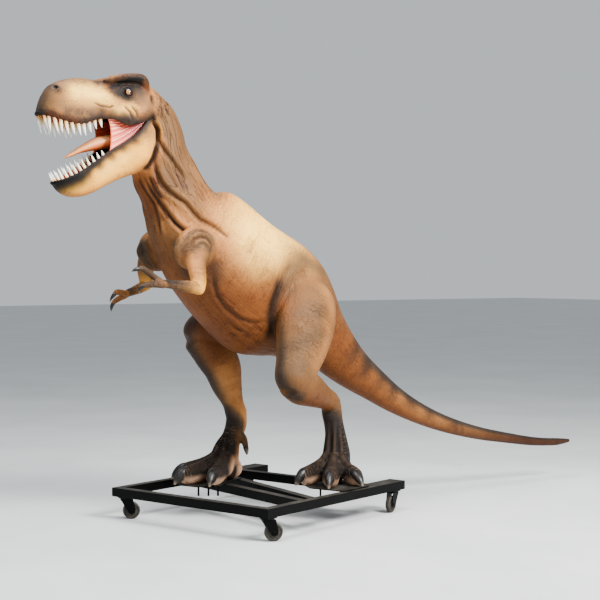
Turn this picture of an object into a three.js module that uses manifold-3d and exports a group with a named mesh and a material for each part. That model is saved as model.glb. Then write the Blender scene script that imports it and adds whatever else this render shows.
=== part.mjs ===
// A painted tyrannosaur statue about four metres long, striding with its mouth open,
// bolted by its feet to a welded square-tube frame that rolls on four swivel casters.
// Millimetres, +Z up. The animal faces -X, its right side is +Y, and the floor is Z = 0.
import * as THREE from 'three';
import { mergeVertices } from 'three/addons/utils/BufferGeometryUtils.js';
import Module from 'manifold-3d';

const wasm = await Module();
wasm.setup();

// Driving dimensions of the frame
const GAP = 0.3;
const TUBE = 50;
const FRAME_TOP = 178;
const FRAME_HALF_LENGTH = 636;
const FRAME_HALF_WIDTH = 585;
const FRAME_YAW = THREE.MathUtils.degToRad(16.5);
const REAR_BAR_AT = 375;
const STUB_WIDTH = 60;
const PLATE = 6;
const ROD_RADIUS = 6;
const ROD_DROP = 55;

// Driving dimensions of a caster
const WHEEL_RADIUS = 50;
const WHEEL_WIDTH = 30;
const CASTER_TRAIL = 28;
const AXLE_RADIUS = 6;
const FORK_THICKNESS = 4;
const FORK_REACH = 36;
const MOUNTING_PLATE = 5;

// Driving dimensions of the animal
const SOLE = FRAME_TOP + PLATE + GAP;
const EYE_RADIUS = 23;
const UPPER_TEETH = 12;
const LOWER_TEETH = 11;
const TAIL_TIP_GIRTH = 22;
const TAIL_LENGTHS = 4;

const paint = {
  skin: new THREE.MeshStandardMaterial({ color: '#b98a5c', roughness: 0.55, metalness: 0 }),
  mouth: new THREE.MeshStandardMaterial({ color: '#d4665a', roughness: 0.3, metalness: 0 }),
  eye: new THREE.MeshStandardMaterial({ color: '#c98a1c', roughness: 0.08, metalness: 0 }),
  steel: new THREE.MeshStandardMaterial({ color: '#1c1c1d', roughness: 0.45, metalness: 0.4 }),
  tyre: new THREE.MeshStandardMaterial({ color: '#5b5650', roughness: 0.8, metalness: 0 }),
};

const point = (x, y, z) => new THREE.Vector3(x, y, z);

// Turns a closed three.js geometry into a solid that can be cut and joined
function solid(geometry) {
  const bare = geometry.index ? geometry.clone() : geometry;
  bare.deleteAttribute('normal');
  bare.deleteAttribute('uv');
  const merged = mergeVertices(bare, 1e-3);
  return new wasm.Manifold(new wasm.Mesh({
    numProp: 3,
    vertProperties: new Float32Array(merged.attributes.position.array),
    triVerts: new Uint32Array(merged.index.array),
  }));
}

// The largest closed surface of a solid, as a geometry
function shape(body) {
  const largest = body.decompose().sort((a, b) => b.volume() - a.volume())[0];
  const mesh = largest.getMesh();
  const geometry = new THREE.BufferGeometry();
  geometry.setAttribute('position', new THREE.BufferAttribute(new Float32Array(mesh.vertProperties), 3));
  geometry.setIndex(new THREE.BufferAttribute(new Uint32Array(mesh.triVerts), 1));
  return geometry;
}

// A closed body through a row of rings, which all have the same number of points
function loft(rings) {
  const sides = rings[0].length;
  const points = rings.flat();
  const index = [];
  for (let r = 0; r + 1 < rings.length; r += 1) {
    for (let s = 0; s < sides; s += 1) {
      const a = r * sides + s;
      const b = r * sides + (s + 1) % sides;
      index.push(a, b, b + sides, a, b + sides, a + sides);
    }
  }
  for (const end of [0, rings.length - 1]) {
    const hub = points.length;
    const middle = rings[end].reduce((sum, p) => sum.add(p), point(0, 0, 0));
    points.push(middle.divideScalar(sides));
    for (let s = 0; s < sides; s += 1) {
      const pair = [end * sides + s, end * sides + (s + 1) % sides];
      index.push(hub, ...(end ? pair : pair.reverse()));
    }
  }
  let volume = 0;
  for (let i = 0; i < index.length; i += 3) {
    const [a, b, c] = [points[index[i]], points[index[i + 1]], points[index[i + 2]]];
    volume += a.dot(b.clone().cross(c));
  }
  if (volume < 0) index.reverse();
  const geometry = new THREE.BufferGeometry();
  geometry.setFromPoints(points);
  geometry.setIndex(index);
  return geometry;
}

// One ring round a point of a path: how far it reaches up, down and to the sides,
// with pear above zero where the lower half is the wider one
function section(middle, ahead, [top, bottom, wide, pear = 0], sides, grow) {
  const side = point(0, 1, 0).addScaledVector(ahead, -ahead.y).normalize();
  const up = ahead.clone().cross(side);
  return Array.from({ length: sides }, (_, i) => {
    const turn = (2 * Math.PI * i) / sides;
    const reach = (Math.cos(turn) > 0 ? top : bottom) + grow;
    const across = (wide + grow) * (1 - pear * Math.cos(turn));
    return middle.clone()
      .addScaledVector(up, reach * Math.cos(turn))
      .addScaledVector(side, across * Math.sin(turn));
  });
}

// Rings along a smooth path. Each row is x, y, z, then the reach up, down and sideways,
// then the pear shape. Up means behind on a limb that points down.
function ringsAlong(rows, { sides = 16, steps = 2, grow = 0 } = {}) {
  const path = new THREE.CatmullRomCurve3(rows.map(([x, y, z]) => point(x, y, z)));
  const girth = new THREE.CatmullRomCurve3(rows.map((row) => point(...row.slice(3, 6))));
  const count = (rows.length - 1) * steps;
  return Array.from({ length: count + 1 }, (_, i) => {
    const at = i / count;
    const row = Math.min(Math.floor(i / steps), rows.length - 2);
    const blend = i / steps - row;
    const pear = (rows[row][6] ?? 0) * (1 - blend) + (rows[row + 1][6] ?? 0) * blend;
    const { x: top, y: bottom, z: wide } = girth.getPoint(at);
    const ahead = path.getTangent(at);
    const beyond = grow * (Number(i === count) - Number(i === 0));
    const middle = path.getPoint(at).addScaledVector(ahead, beyond);
    return section(middle, ahead, [top, bottom, wide, pear], sides, grow);
  });
}

const limb = (rows, options) => solid(loft(ringsAlong(rows, options)));

// A side of the body: -1 is the animal's left, which is -Y, and 1 its right
const mirrored = (rows, side) => rows.map(([x, y, z, ...girth]) => [x, y * side, z, ...girth]);

const statue = new THREE.Group();

function place(name, geometry, material, group = statue) {
  const mesh = new THREE.Mesh(geometry, material);
  mesh.name = name;
  group.add(mesh);
  return mesh;
}

// The trunk from the back of the head to the tip of the tail, in one run of rings
const NECK_ROWS = [
  [-748, 0, 2320, 96, 108, 118],
  [-700, 0, 2268, 112, 122, 120],
  [-672, 0, 2180, 132, 150, 124],
  [-664, 0, 2085, 154, 178, 132],
  [-640, 0, 1990, 176, 196, 142],
  [-590, 0, 1890, 184, 192, 160, 0.05],
];
const CHEST_ROWS = [
  [-545, 0, 1800, 206, 208, 178, 0.1],
  [-500, 0, 1720, 262, 244, 196, 0.14],
  [-430, 0, 1640, 324, 285, 220, 0.16],
  [-350, 0, 1560, 345, 318, 246, 0.16],
  [-250, 0, 1478, 352, 345, 268, 0.16],
];
const BELLY_ROWS = [
  [-140, 0, 1395, 360, 368, 276, 0.14],
  [-20, 0, 1320, 367, 396, 262, 0.1],
  [100, 0, 1262, 364, 366, 236, 0.05],
  [215, 0, 1200, 336, 318, 212],
  [320, 0, 1128, 268, 272, 188],
  [408, 0, 1056, 198, 218, 166],
];

// The tail's middle line, which droops and then levels out, and its taper
const TAIL_LINE = new THREE.CatmullRomCurve3([
  point(484, 0, 985), point(634, 0, 852), point(830, 0, 722), point(1010, 0, 612),
  point(1220, 0, 512), point(1440, 0, 432), point(1700, 0, 362), point(1960, 0, 312),
  point(2200, 0, 272), point(2400, 0, 254), point(2566, 0, 254),
]);
const TAIL_STATIONS = 16;
const tailGirth = (u) => TAIL_TIP_GIRTH + 100 * (1 - u) ** 4 + 48 * (1 - u);

function tailRows() {
  return Array.from({ length: TAIL_STATIONS + 1 }, (_, i) => {
    const u = i / TAIL_STATIONS;
    const { x, y, z } = TAIL_LINE.getPointAt(u);
    const girth = i === TAIL_STATIONS ? TAIL_TIP_GIRTH / 2 : tailGirth(u);
    return [x, y, z, girth, girth, girth * (0.84 + 0.1 * u)];
  });
}

const TRUNK_ROWS = [...NECK_ROWS, ...CHEST_ROWS, ...BELLY_ROWS, ...tailRows()];
const TRUNK_LOOK = { sides: 20, steps: 1 };
const trunkRings = ringsAlong(TRUNK_ROWS, TRUNK_LOOK);
const trunkGrown = solid(loft(ringsAlong(TRUNK_ROWS, { ...TRUNK_LOOK, grow: GAP })));

// Cuts the trunk into its parts, each moved a gap's width back from the one before it
const cuts = [NECK_ROWS.length, NECK_ROWS.length + CHEST_ROWS.length,
  NECK_ROWS.length + CHEST_ROWS.length + BELLY_ROWS.length];
for (let t = 1; t <= TAIL_LENGTHS; t += 1) {
  cuts.push(cuts[2] + (TAIL_STATIONS * t) / TAIL_LENGTHS);
}
const TRUNK_PARTS = ['neck', 'chest', 'belly', 'tail_1', 'tail_2', 'tail_3', 'tail_4'];

TRUNK_PARTS.forEach((name, i) => {
  const from = i ? cuts[i - 1] : 0;
  const rings = trunkRings.slice(from, cuts[i] + 1).map((ring) => ring.map((p) => p.clone()));
  if (i) {
    const next = trunkRings[from + 1];
    rings[0].forEach((p, s) => p.addScaledVector(next[s].clone().sub(p).normalize(), GAP * 2));
  }
  place(name, loft(rings), paint.skin);
});

// The head in plan and profile. Each row is x, the top, the lip and the half width.
const HEAD_ROWS = [
  [-750, 2408, 2214, 114],
  [-790, 2452, 2230, 136],
  [-860, 2466, 2216, 148],
  [-935, 2462, 2210, 142],
  [-1010, 2448, 2238, 124],
  [-1090, 2448, 2236, 104],
  [-1180, 2452, 2210, 98],
  [-1262, 2436, 2216, 94],
  [-1322, 2406, 2232, 84],
  [-1358, 2364, 2242, 68],
  [-1380, 2314, 2248, 48],
  [-1394, 2276, 2252, 22],
];
// Half of the skull's section, from the middle of its top round the lip to the palate:
// across as a share of the half width, and up from the lip as a share of the height
const SKULL_SECTION = [
  [0, 1], [0.38, 0.985], [0.66, 0.9], [0.83, 0.74], [0.94, 0.46],
  [1, 0.2], [0.99, 0.02], [0.9, -0.03], [0.78, 0.06], [0.45, 0.2], [0, 0.25],
];

const fullSection = (half) => [...half, ...half.slice(1, -1).reverse().map(([y, z]) => [-y, z])];

function skullRings(grow = 0) {
  return HEAD_ROWS.map(([x, top, lip, wide], i) => {
    const first = i === 0 ? grow : 0;
    return fullSection(SKULL_SECTION).map(([across, up]) => point(
      x + first,
      across * (wide + grow),
      lip - grow + up * (top - lip + 2 * grow),
    ));
  });
}

// The lower jaw, from its hinge out: distance along it, the lip, the underside, the half width
const JAW_HINGE = point(-775, 0, 2245);
const JAW_DROP = THREE.MathUtils.degToRad(31.2);
const JAW_ROWS = [
  [-22, -10, -90, 96],
  [55, 12, -165, 120],
  [130, 0, -204, 127],
  [210, -4, -211, 122],
  [310, -13, -194, 108],
  [400, -27, -184, 96],
  [470, -34, -180, 88],
  [535, -36, -168, 82],
  [590, -30, -142, 66],
  [626, -22, -104, 44],
  [642, -16, -64, 20],
];
const JAW_SECTION = [
  [0, 0], [0.42, 0.03], [0.76, 0.18], [0.95, 0.5], [1, 0.85],
  [0.97, 1], [0.84, 0.99], [0.76, 0.84], [0.42, 0.74], [0, 0.72],
];

// A place on the jaw: along it, across it, and up from the line of its lip
function onJaw(along, across, up) {
  const [c, s] = [Math.cos(JAW_DROP), Math.sin(JAW_DROP)];
  return point(
    JAW_HINGE.x - along * c - up * s,
    across,
    JAW_HINGE.z - along * s + up * c,
  );
}

function jawRings(grow = 0) {
  return JAW_ROWS.map(([along, lip, under, wide]) => fullSection(JAW_SECTION).map(
    ([across, up]) => onJaw(along, across * (wide + grow), under - grow + up * (lip - under + 2 * grow)),
  ));
}

// Reads one column of a table of rows at a place given by the first column
function columnAt(rows, at, column) {
  const upward = rows[1][0] > rows[0][0];
  const i = rows.findIndex((row, k) => k > 0 && (upward ? row[0] >= at : row[0] <= at));
  const [a, b] = [rows[i - 1], rows[i]];
  return a[column] + ((b[column] - a[column]) * (at - a[0])) / (b[0] - a[0]);
}

// A tooth: a curved cone of five sides from its sunk root to its tip
function tooth(root, towards, length, radius) {
  const levels = [[-0.35, 1], [0.35, 0.82], [0.75, 0.45], [1, 0.08]];
  const down = towards.clone().normalize();
  const side = point(0, 1, 0).cross(down).normalize();
  const third = down.clone().cross(side);
  return solid(loft(levels.map(([along, size]) => Array.from({ length: 5 }, (_, i) => {
    const turn = (2 * Math.PI * i) / 5;
    return root.clone()
      .addScaledVector(down, along * length)
      .addScaledVector(side, size * radius * Math.cos(turn) + 0.14 * length * along * along)
      .addScaledVector(third, size * radius * Math.sin(turn));
  }))));
}

// Teeth grow longest a third of the way back and stay small at the ends of the row
const toothLength = (u, longest) => longest * (0.5 + 0.5 * Math.sin(Math.PI * (0.15 + 0.85 * u)))
  * (0.88 + 0.12 * Math.cos(u * 37));

function upperTeeth() {
  const teeth = [];
  for (const side of [-1, 1]) {
    for (let i = 0; i < UPPER_TEETH; i += 1) {
      const u = i / (UPPER_TEETH - 1);
      const x = -1376 + 320 * u ** 1.15;
      const inset = columnAt(HEAD_ROWS, x, 3) - 12;
      const root = point(x + 6, side * inset, columnAt(HEAD_ROWS, x, 2) + 4);
      teeth.push(tooth(root, point(0.12, side * 0.04, -1), toothLength(u, 58), 12));
    }
  }
  return teeth;
}

function lowerTeeth() {
  const teeth = [];
  for (const side of [-1, 1]) {
    for (let i = 0; i < LOWER_TEETH; i += 1) {
      const u = i / (LOWER_TEETH - 1);
      const along = 638 - 300 * u ** 1.1;
      const inset = columnAt(JAW_ROWS, along, 3) - 11;
      const root = onJaw(along, side * inset, columnAt(JAW_ROWS, along, 1) - 6);
      const tip = onJaw(along - 8, side * inset, columnAt(JAW_ROWS, along, 1) + 60);
      teeth.push(tooth(root, tip.sub(root), toothLength(u, 52), 10.5));
    }
  }
  return teeth;
}

const eyePlace = (side) => point(-930, side * 118, 2392);

function browRidge(side) {
  return limb(mirrored([
    [-1010, 84, 2436, 12, 14, 12],
    [-950, 104, 2440, 20, 20, 20],
    [-880, 116, 2450, 27, 26, 26],
    [-830, 118, 2452, 28, 30, 26],
    [-802, 112, 2430, 20, 26, 18],
  ], side), { sides: 10, steps: 1 });
}

const ball = (middle, radius, wide = 12, high = 8) => solid(
  new THREE.SphereGeometry(radius, wide, high).rotateX(Math.PI / 2).translate(...middle.toArray()),
);

const neckGrown = solid(loft(ringsAlong(TRUNK_ROWS.slice(0, NECK_ROWS.length), { ...TRUNK_LOOK, grow: GAP })));
const skullGrown = solid(loft(skullRings(GAP)));

let skull = solid(loft(skullRings()));
for (const side of [-1, 1]) {
  skull = skull.add(browRidge(side));
}
for (const grown of upperTeeth()) {
  skull = skull.add(grown);
}
for (const side of [-1, 1]) {
  skull = skull.subtract(ball(eyePlace(side), EYE_RADIUS + GAP));
  skull = skull.subtract(ball(point(-1322, side * 88, 2370), 12, 8, 5));
}
place('head', shape(skull.subtract(neckGrown)), paint.skin);

for (const [name, side] of [['eye_left', -1], ['eye_right', 1]]) {
  place(name, shape(ball(eyePlace(side), EYE_RADIUS)), paint.eye);
}

let jaw = solid(loft(jawRings()));
for (const grown of lowerTeeth()) {
  jaw = jaw.add(grown);
}
place('jaw', shape(jaw.subtract(skullGrown).subtract(skull).subtract(neckGrown)), paint.skin);

// What is left of a piece between the jaws and the throat
const jawGrown = solid(loft(jawRings(GAP)));
const inMouth = (body) => shape(
  body.subtract(skullGrown).subtract(skull).subtract(jawGrown).subtract(jaw).subtract(neckGrown),
);

// The tongue lies in the jaw and lifts clear of it towards its tip
const TONGUE_ROWS = [
  [90, -60, 30, 40, 46], [180, -46, 34, 36, 54], [270, -22, 32, 32, 52],
  [350, 14, 26, 26, 46], [420, 44, 19, 18, 36], [466, 58, 9, 8, 16],
];
const tongueRows = TONGUE_ROWS.map(([along, up, ...girth]) => {
  const { x, z } = onJaw(along, 0, up);
  return [x, 0, z, ...girth];
});
const tongue = limb(tongueRows, { sides: 12, steps: 1 });
place('tongue', inMouth(tongue), paint.mouth);

// The skin that spans each corner of the mouth, a thin sheet with a hollow front edge
const CHEEK_THICKNESS = 9;
function cheek(side) {
  const outline = [[60, 20], [120, 110], [225, 170], [238, 120], [232, 60], [245, -8], [140, -14], [70, -4]];
  const layer = (across) => outline.map(([along, up]) => onJaw(along, across, up));
  return solid(loft([layer(side * 100), layer(side * (100 - CHEEK_THICKNESS))]));
}
for (const [name, side] of [['cheek_left', -1], ['cheek_right', 1]]) {
  place(name, inMouth(cheek(side)), paint.mouth);
}

// The hind legs. The right one strides forward and the left one stands under the hips.
const LEGS = {
  left: {
    side: -1,
    thigh: [
      [260, 110, 1330, 120, 130, 90], [225, 170, 1250, 170, 200, 128], [170, 235, 1150, 176, 226, 132],
      [90, 305, 1010, 156, 192, 122], [5, 362, 890, 130, 136, 106], [-52, 396, 806, 104, 108, 92],
      [-78, 410, 752, 60, 64, 56],
    ],
    shank: [
      [-60, 400, 806, 92, 92, 84], [40, 350, 775, 112, 108, 94], [165, 286, 732, 96, 90, 80],
      [285, 222, 690, 68, 70, 62], [372, 176, 658, 58, 60, 57], [412, 156, 634, 34, 34, 34],
    ],
    instep: [
      [392, 164, 676, 50, 54, 50], [397, 158, 600, 64, 62, 56], [412, 156, 530, 60, 60, 52],
      [428, 155, 455, 64, 66, 56], [436, 154, 345, 84, 86, 76], [438, 152, 285, 84, 92, 80],
    ],
    ankle: [432, 150],
    heading: 228,
  },
  right: {
    side: 1,
    thigh: [
      [250, 110, 1330, 120, 120, 90], [180, 170, 1270, 170, 165, 128], [80, 215, 1205, 172, 165, 132],
      [-60, 255, 1140, 156, 150, 122], [-180, 285, 1085, 132, 128, 106], [-262, 300, 1040, 100, 104, 88],
      [-300, 306, 1012, 56, 60, 52],
    ],
    shank: [
      [-258, 300, 1036, 88, 92, 84], [-164, 286, 945, 126, 118, 98], [-104, 272, 860, 122, 118, 96],
      [-72, 260, 745, 96, 94, 84], [-36, 250, 640, 66, 66, 58], [-14, 246, 560, 70, 64, 56],
      [0, 244, 505, 38, 36, 34],
    ],
    instep: [
      [-14, 246, 580, 66, 60, 52], [-18, 246, 505, 70, 64, 55], [-48, 245, 433, 60, 60, 52],
      [-80, 244, 355, 78, 82, 66], [-98, 242, 285, 86, 96, 78],
    ],
    ankle: [-78, 240],
    heading: 187,
  },
};

// A toe that runs out and down from the ankle, in plan at an angle, with its claw.
// The spread is measured towards the inside of the animal.
const TOES = [{ spread: -33, length: 270 }, { spread: 0, length: 332 }, { spread: 34, length: 296 }];
const CLAW_LENGTH = 84;

function outward(from, degrees, distance, height) {
  const turn = THREE.MathUtils.degToRad(degrees);
  return [from[0] + distance * Math.cos(turn), from[1] + distance * Math.sin(turn), height];
}

function toe(from, degrees, length) {
  const reach = (share, height) => outward(from, degrees, share * length, height);
  const flesh = limb([
    [...reach(0, 300), 72, 70, 62], [...reach(0.3, 270), 62, 70, 56], [...reach(0.6, 246), 54, 60, 52],
    [...reach(0.86, 236), 50, 52, 49], [...reach(1, 232), 34, 40, 36],
  ], { sides: 10, steps: 1 });
  const claw = limb([
    [...outward(from, degrees, length - 26, 250), 32, 34, 27],
    [...outward(from, degrees, length + 0.36 * CLAW_LENGTH, 246), 28, 30, 22],
    [...outward(from, degrees, length + 0.76 * CLAW_LENGTH, 222), 15, 16, 12],
    [...outward(from, degrees, length + CLAW_LENGTH, SOLE + 5), 4, 4, 4],
  ], { sides: 8, steps: 1 });
  return flesh.add(claw);
}

function heelPad(from, degrees) {
  return limb([
    [...outward(from, degrees, 90, 240), 44, 56, 66], [...outward(from, degrees, 10, 254), 72, 76, 88],
    [...outward(from, degrees, -62, 246), 62, 64, 76], [...outward(from, degrees, -104, 240), 30, 40, 40],
  ], { sides: 12, steps: 1 });
}

// The small first toe, which hangs behind and inside the instep
function dewclaw(from, degrees, side) {
  const inside = degrees + side * 150;
  return limb([
    [...outward(from, inside, 40, 455), 26, 26, 24], [...outward(from, inside, 92, 428), 24, 24, 22],
    [...outward(from, inside, 112, 386), 20, 20, 17], [...outward(from, inside, 118, 350), 14, 14, 12],
    [...outward(from, inside, 112, 318), 4, 4, 4],
  ], { sides: 8, steps: 1 });
}

for (const [name, leg] of Object.entries(LEGS)) {
  const rows = (part) => mirrored(leg[part], leg.side);
  const ankle = [leg.ankle[0], leg.ankle[1] * leg.side];
  const thigh = limb(rows('thigh'), { sides: 16, steps: 1 });
  const thighGrown = limb(rows('thigh'), { sides: 16, steps: 1, grow: GAP });
  const shank = limb(rows('shank'), { sides: 14, steps: 1 });
  const shankGrown = limb(rows('shank'), { sides: 14, steps: 1, grow: GAP });
  const instep = limb(rows('instep'), { sides: 14, steps: 1 });
  const instepGrown = limb(rows('instep'), { sides: 14, steps: 1, grow: GAP });
  let foot = heelPad(ankle, leg.heading);
  for (const { spread, length } of TOES) {
    foot = foot.add(toe(ankle, leg.heading + spread * leg.side, length));
  }
  foot = foot.trimByPlane([0, 0, 1], SOLE);
  const inner = dewclaw(ankle, leg.heading, leg.side);
  place(`thigh_${name}`, shape(thigh.subtract(trunkGrown)), paint.skin);
  place(`shank_${name}`, shape(shank.subtract(thighGrown).subtract(trunkGrown)), paint.skin);
  place(`instep_${name}`, shape(instep.add(inner).subtract(shankGrown)), paint.skin);
  place(`foot_${name}`, shape(foot.subtract(instepGrown).subtract(inner)), paint.skin);
}

// The short arms, bent at the elbow, each hand with two clawed fingers
const ARMS = {
  left: {
    side: -1,
    upper: [
      [-540, 150, 1590, 70, 70, 60], [-575, 225, 1530, 74, 74, 62], [-606, 290, 1450, 54, 56, 46],
      [-620, 335, 1370, 44, 44, 38], [-628, 350, 1322, 34, 36, 32], [-630, 354, 1296, 16, 18, 16],
    ],
    fore: [
      [-612, 348, 1330, 30, 28, 28], [-690, 360, 1340, 34, 34, 30], [-770, 372, 1350, 27, 27, 24],
      [-850, 380, 1356, 21, 22, 22], [-885, 382, 1358, 12, 12, 12],
    ],
    fingers: [
      [[-862, 372, 1362, 18, 18, 18], [-925, 366, 1402, 18, 18, 16], [-975, 366, 1436, 17, 17, 15],
        [-1010, 368, 1434, 12, 12, 10], [-1040, 370, 1422, 3, 3, 3]],
      [[-862, 386, 1352, 20, 20, 20], [-930, 396, 1356, 19, 19, 17], [-980, 400, 1352, 16, 16, 14],
        [-1006, 402, 1338, 10, 10, 9], [-1018, 403, 1318, 3, 3, 3]],
    ],
  },
  right: {
    side: 1,
    upper: [
      [-540, 150, 1590, 70, 70, 60], [-585, 220, 1540, 74, 74, 62], [-612, 262, 1460, 56, 56, 46],
      [-606, 284, 1390, 44, 44, 38], [-590, 290, 1340, 34, 36, 32], [-584, 292, 1316, 16, 18, 16],
    ],
    fore: [
      [-588, 288, 1346, 30, 28, 28], [-640, 270, 1330, 32, 32, 28], [-700, 250, 1312, 26, 26, 24],
      [-752, 232, 1298, 21, 22, 22], [-780, 226, 1290, 12, 12, 12],
    ],
    fingers: [
      [[-760, 226, 1296, 18, 18, 18], [-806, 206, 1304, 18, 18, 16], [-838, 196, 1306, 17, 17, 15],
        [-862, 190, 1284, 11, 11, 10], [-884, 186, 1256, 3, 3, 3]],
      [[-756, 240, 1288, 20, 20, 20], [-792, 252, 1270, 18, 18, 16], [-822, 256, 1250, 15, 15, 13],
        [-836, 258, 1226, 10, 10, 9], [-838, 258, 1200, 3, 3, 3]],
    ],
  },
};

for (const [name, arm] of Object.entries(ARMS)) {
  const look = { sides: 12, steps: 1 };
  const build = (rows, grow = 0) => limb(mirrored(rows, arm.side), { ...look, grow });
  const upper = build(arm.upper).subtract(trunkGrown);
  const fore = build(arm.fore).subtract(build(arm.upper, GAP)).subtract(trunkGrown);
  const fingers = arm.fingers.map((rows) => limb(mirrored(rows, arm.side), { sides: 8, steps: 1 }));
  const hand = fingers[0].add(fingers[1]).subtract(build(arm.fore, GAP));
  place(`upper_arm_${name}`, shape(upper), paint.skin);
  place(`forearm_${name}`, shape(fore), paint.skin);
  place(`hand_${name}`, shape(hand), paint.skin);
}

// The welded frame, turned a little under the animal. Along it is x, across it is y.
const frame = new THREE.Group();
frame.rotation.z = FRAME_YAW;
statue.add(frame);
const FRAME_MIDDLE = FRAME_TOP - TUBE / 2;

function bar(name, x0, x1, y0, y1) {
  const box = new THREE.BoxGeometry(x1 - x0, y1 - y0, TUBE);
  place(name, box, paint.steel, frame).position.set((x0 + x1) / 2, (y0 + y1) / 2, FRAME_MIDDLE);
}

const INSIDE = FRAME_HALF_WIDTH - TUBE;
const REAR_BAR_END = REAR_BAR_AT + TUBE / 2;
bar('stand_side_bar_left', -FRAME_HALF_LENGTH, FRAME_HALF_LENGTH, -FRAME_HALF_WIDTH, -INSIDE);
bar('stand_side_bar_right', -FRAME_HALF_LENGTH, FRAME_HALF_LENGTH, INSIDE, FRAME_HALF_WIDTH);
bar('stand_front_bar', -FRAME_HALF_LENGTH, TUBE - FRAME_HALF_LENGTH, GAP - INSIDE, INSIDE - GAP);
bar('stand_rear_bar', REAR_BAR_AT - TUBE / 2, REAR_BAR_END, GAP - INSIDE, INSIDE - GAP);
for (const [name, side] of [['left', -1], ['right', 1]]) {
  const edges = [side * (INSIDE - GAP), side * (INSIDE - STUB_WIDTH)].sort((a, b) => a - b);
  bar(`stand_rear_block_${name}`, REAR_BAR_END + GAP, FRAME_HALF_LENGTH, ...edges);
}

// Flat outlines in the frame's plane, raised by a thickness
function slab(outline, bottom, thickness) {
  const flat = new THREE.Shape(outline.map(([x, y]) => new THREE.Vector2(x, y)));
  return new THREE.ExtrudeGeometry(flat, { depth: thickness, bevelEnabled: false }).translate(0, 0, bottom);
}

// Two slanted bars between the side bars, which carry the right foot
const CROSS_BARS = [[-290, -22], [-200, 195]];
CROSS_BARS.forEach(([atLeft, atRight], i) => {
  const half = TUBE / 2 / Math.cos(Math.atan((atRight - atLeft) / (2 * INSIDE)));
  const end = INSIDE - GAP;
  const outline = [[atLeft - half, -end], [atLeft + half, -end], [atRight + half, end], [atRight - half, end]];
  place(`stand_cross_bar_${i + 1}`, slab(outline, FRAME_TOP - TUBE, TUBE), paint.steel, frame);
});

// A plate under each foot, with the threaded rods that hold the foot down
const FOOT_PLATES = {
  left: {
    outline: [[60, -560], [300, -560], [400, -320], [380, -250], [100, -250], [40, -330]],
    rods: [[106, -359], [250, -420]],
  },
  right: {
    outline: [[-335, 205], [-240, 112], [-60, 180], [85, 225], [85, 290], [-90, 365], [-255, 440], [-345, 330]],
    rods: [[-305, 214], [-269, 169], [-235, 126]],
  },
};
for (const [name, { outline, rods }] of Object.entries(FOOT_PLATES)) {
  let plate = solid(slab(outline, FRAME_TOP + GAP, PLATE - GAP));
  for (const [x, y] of rods) {
    const rod = new THREE.CylinderGeometry(ROD_RADIUS, ROD_RADIUS, ROD_DROP, 8).rotateX(Math.PI / 2);
    plate = plate.add(solid(rod.translate(x, y, FRAME_TOP + 2 - ROD_DROP / 2)));
  }
  place(`stand_foot_plate_${name}`, shape(plate), paint.steel, frame);
}

// A swivel caster: a plate under the frame, a fork that turns about an upright pin, and a wheel
const CASTERS = {
  front_left: { at: [-598, -556], swivel: -34 },
  front_right: { at: [-598, 505], swivel: -40 },
  rear_left: { at: [552, -556], swivel: 188 },
  rear_right: { at: [552, 556], swivel: 150 },
};
const PLATE_TOP = FRAME_TOP - TUBE - GAP;
const FORK_TOP = PLATE_TOP - MOUNTING_PLATE - GAP;
const HUB_RADIUS = 15;

function fork() {
  const cheek = WHEEL_WIDTH / 2 + 3;
  const crown = new THREE.CylinderGeometry(FORK_REACH - 4, FORK_REACH - 4, 6, 16).rotateX(Math.PI / 2).translate(0, 0, FORK_TOP - 3);
  const bridge = new THREE.BoxGeometry(2 * FORK_REACH, 2 * (cheek + FORK_THICKNESS), FORK_THICKNESS);
  let body = solid(crown).add(solid(bridge.translate(0, 0, FORK_TOP - 8)));
  const outline = [[-FORK_REACH, FORK_TOP - 6], [FORK_REACH, FORK_TOP - 6],
    [CASTER_TRAIL + 22, WHEEL_RADIUS + 6], [CASTER_TRAIL + 18, WHEEL_RADIUS - 14],
    [CASTER_TRAIL, WHEEL_RADIUS - 22], [CASTER_TRAIL - 16, WHEEL_RADIUS - 14]];
  for (const y of [-cheek - FORK_THICKNESS, cheek]) {
    const side = new THREE.ExtrudeGeometry(
      new THREE.Shape(outline.map(([x, z]) => new THREE.Vector2(x, z))),
      { depth: FORK_THICKNESS, bevelEnabled: false },
    );
    body = body.add(solid(side.rotateX(Math.PI / 2).translate(0, y + FORK_THICKNESS, 0)));
  }
  const axle = new THREE.CylinderGeometry(AXLE_RADIUS, AXLE_RADIUS, 2 * (cheek + FORK_THICKNESS + 5), 12);
  return body.add(solid(axle.translate(CASTER_TRAIL, 0, WHEEL_RADIUS)));
}

function wheel() {
  const half = WHEEL_WIDTH / 2;
  const bore = AXLE_RADIUS + 2 * GAP;
  const profile = [[bore, -half - 2], [HUB_RADIUS, -half - 2], [HUB_RADIUS + 4, -half + 5],
    [WHEEL_RADIUS - 13, -half + 5], [WHEEL_RADIUS - 9, -half], [WHEEL_RADIUS, -half + 6],
    [WHEEL_RADIUS, half - 6], [WHEEL_RADIUS - 9, half], [WHEEL_RADIUS - 13, half - 5],
    [HUB_RADIUS + 4, half - 5], [HUB_RADIUS, half + 2], [bore, half + 2], [bore, -half - 2]];
  const ring = new THREE.LatheGeometry(profile.map(([r, y]) => new THREE.Vector2(r, y)), 20);
  return ring.translate(CASTER_TRAIL, 0, WHEEL_RADIUS);
}

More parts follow.
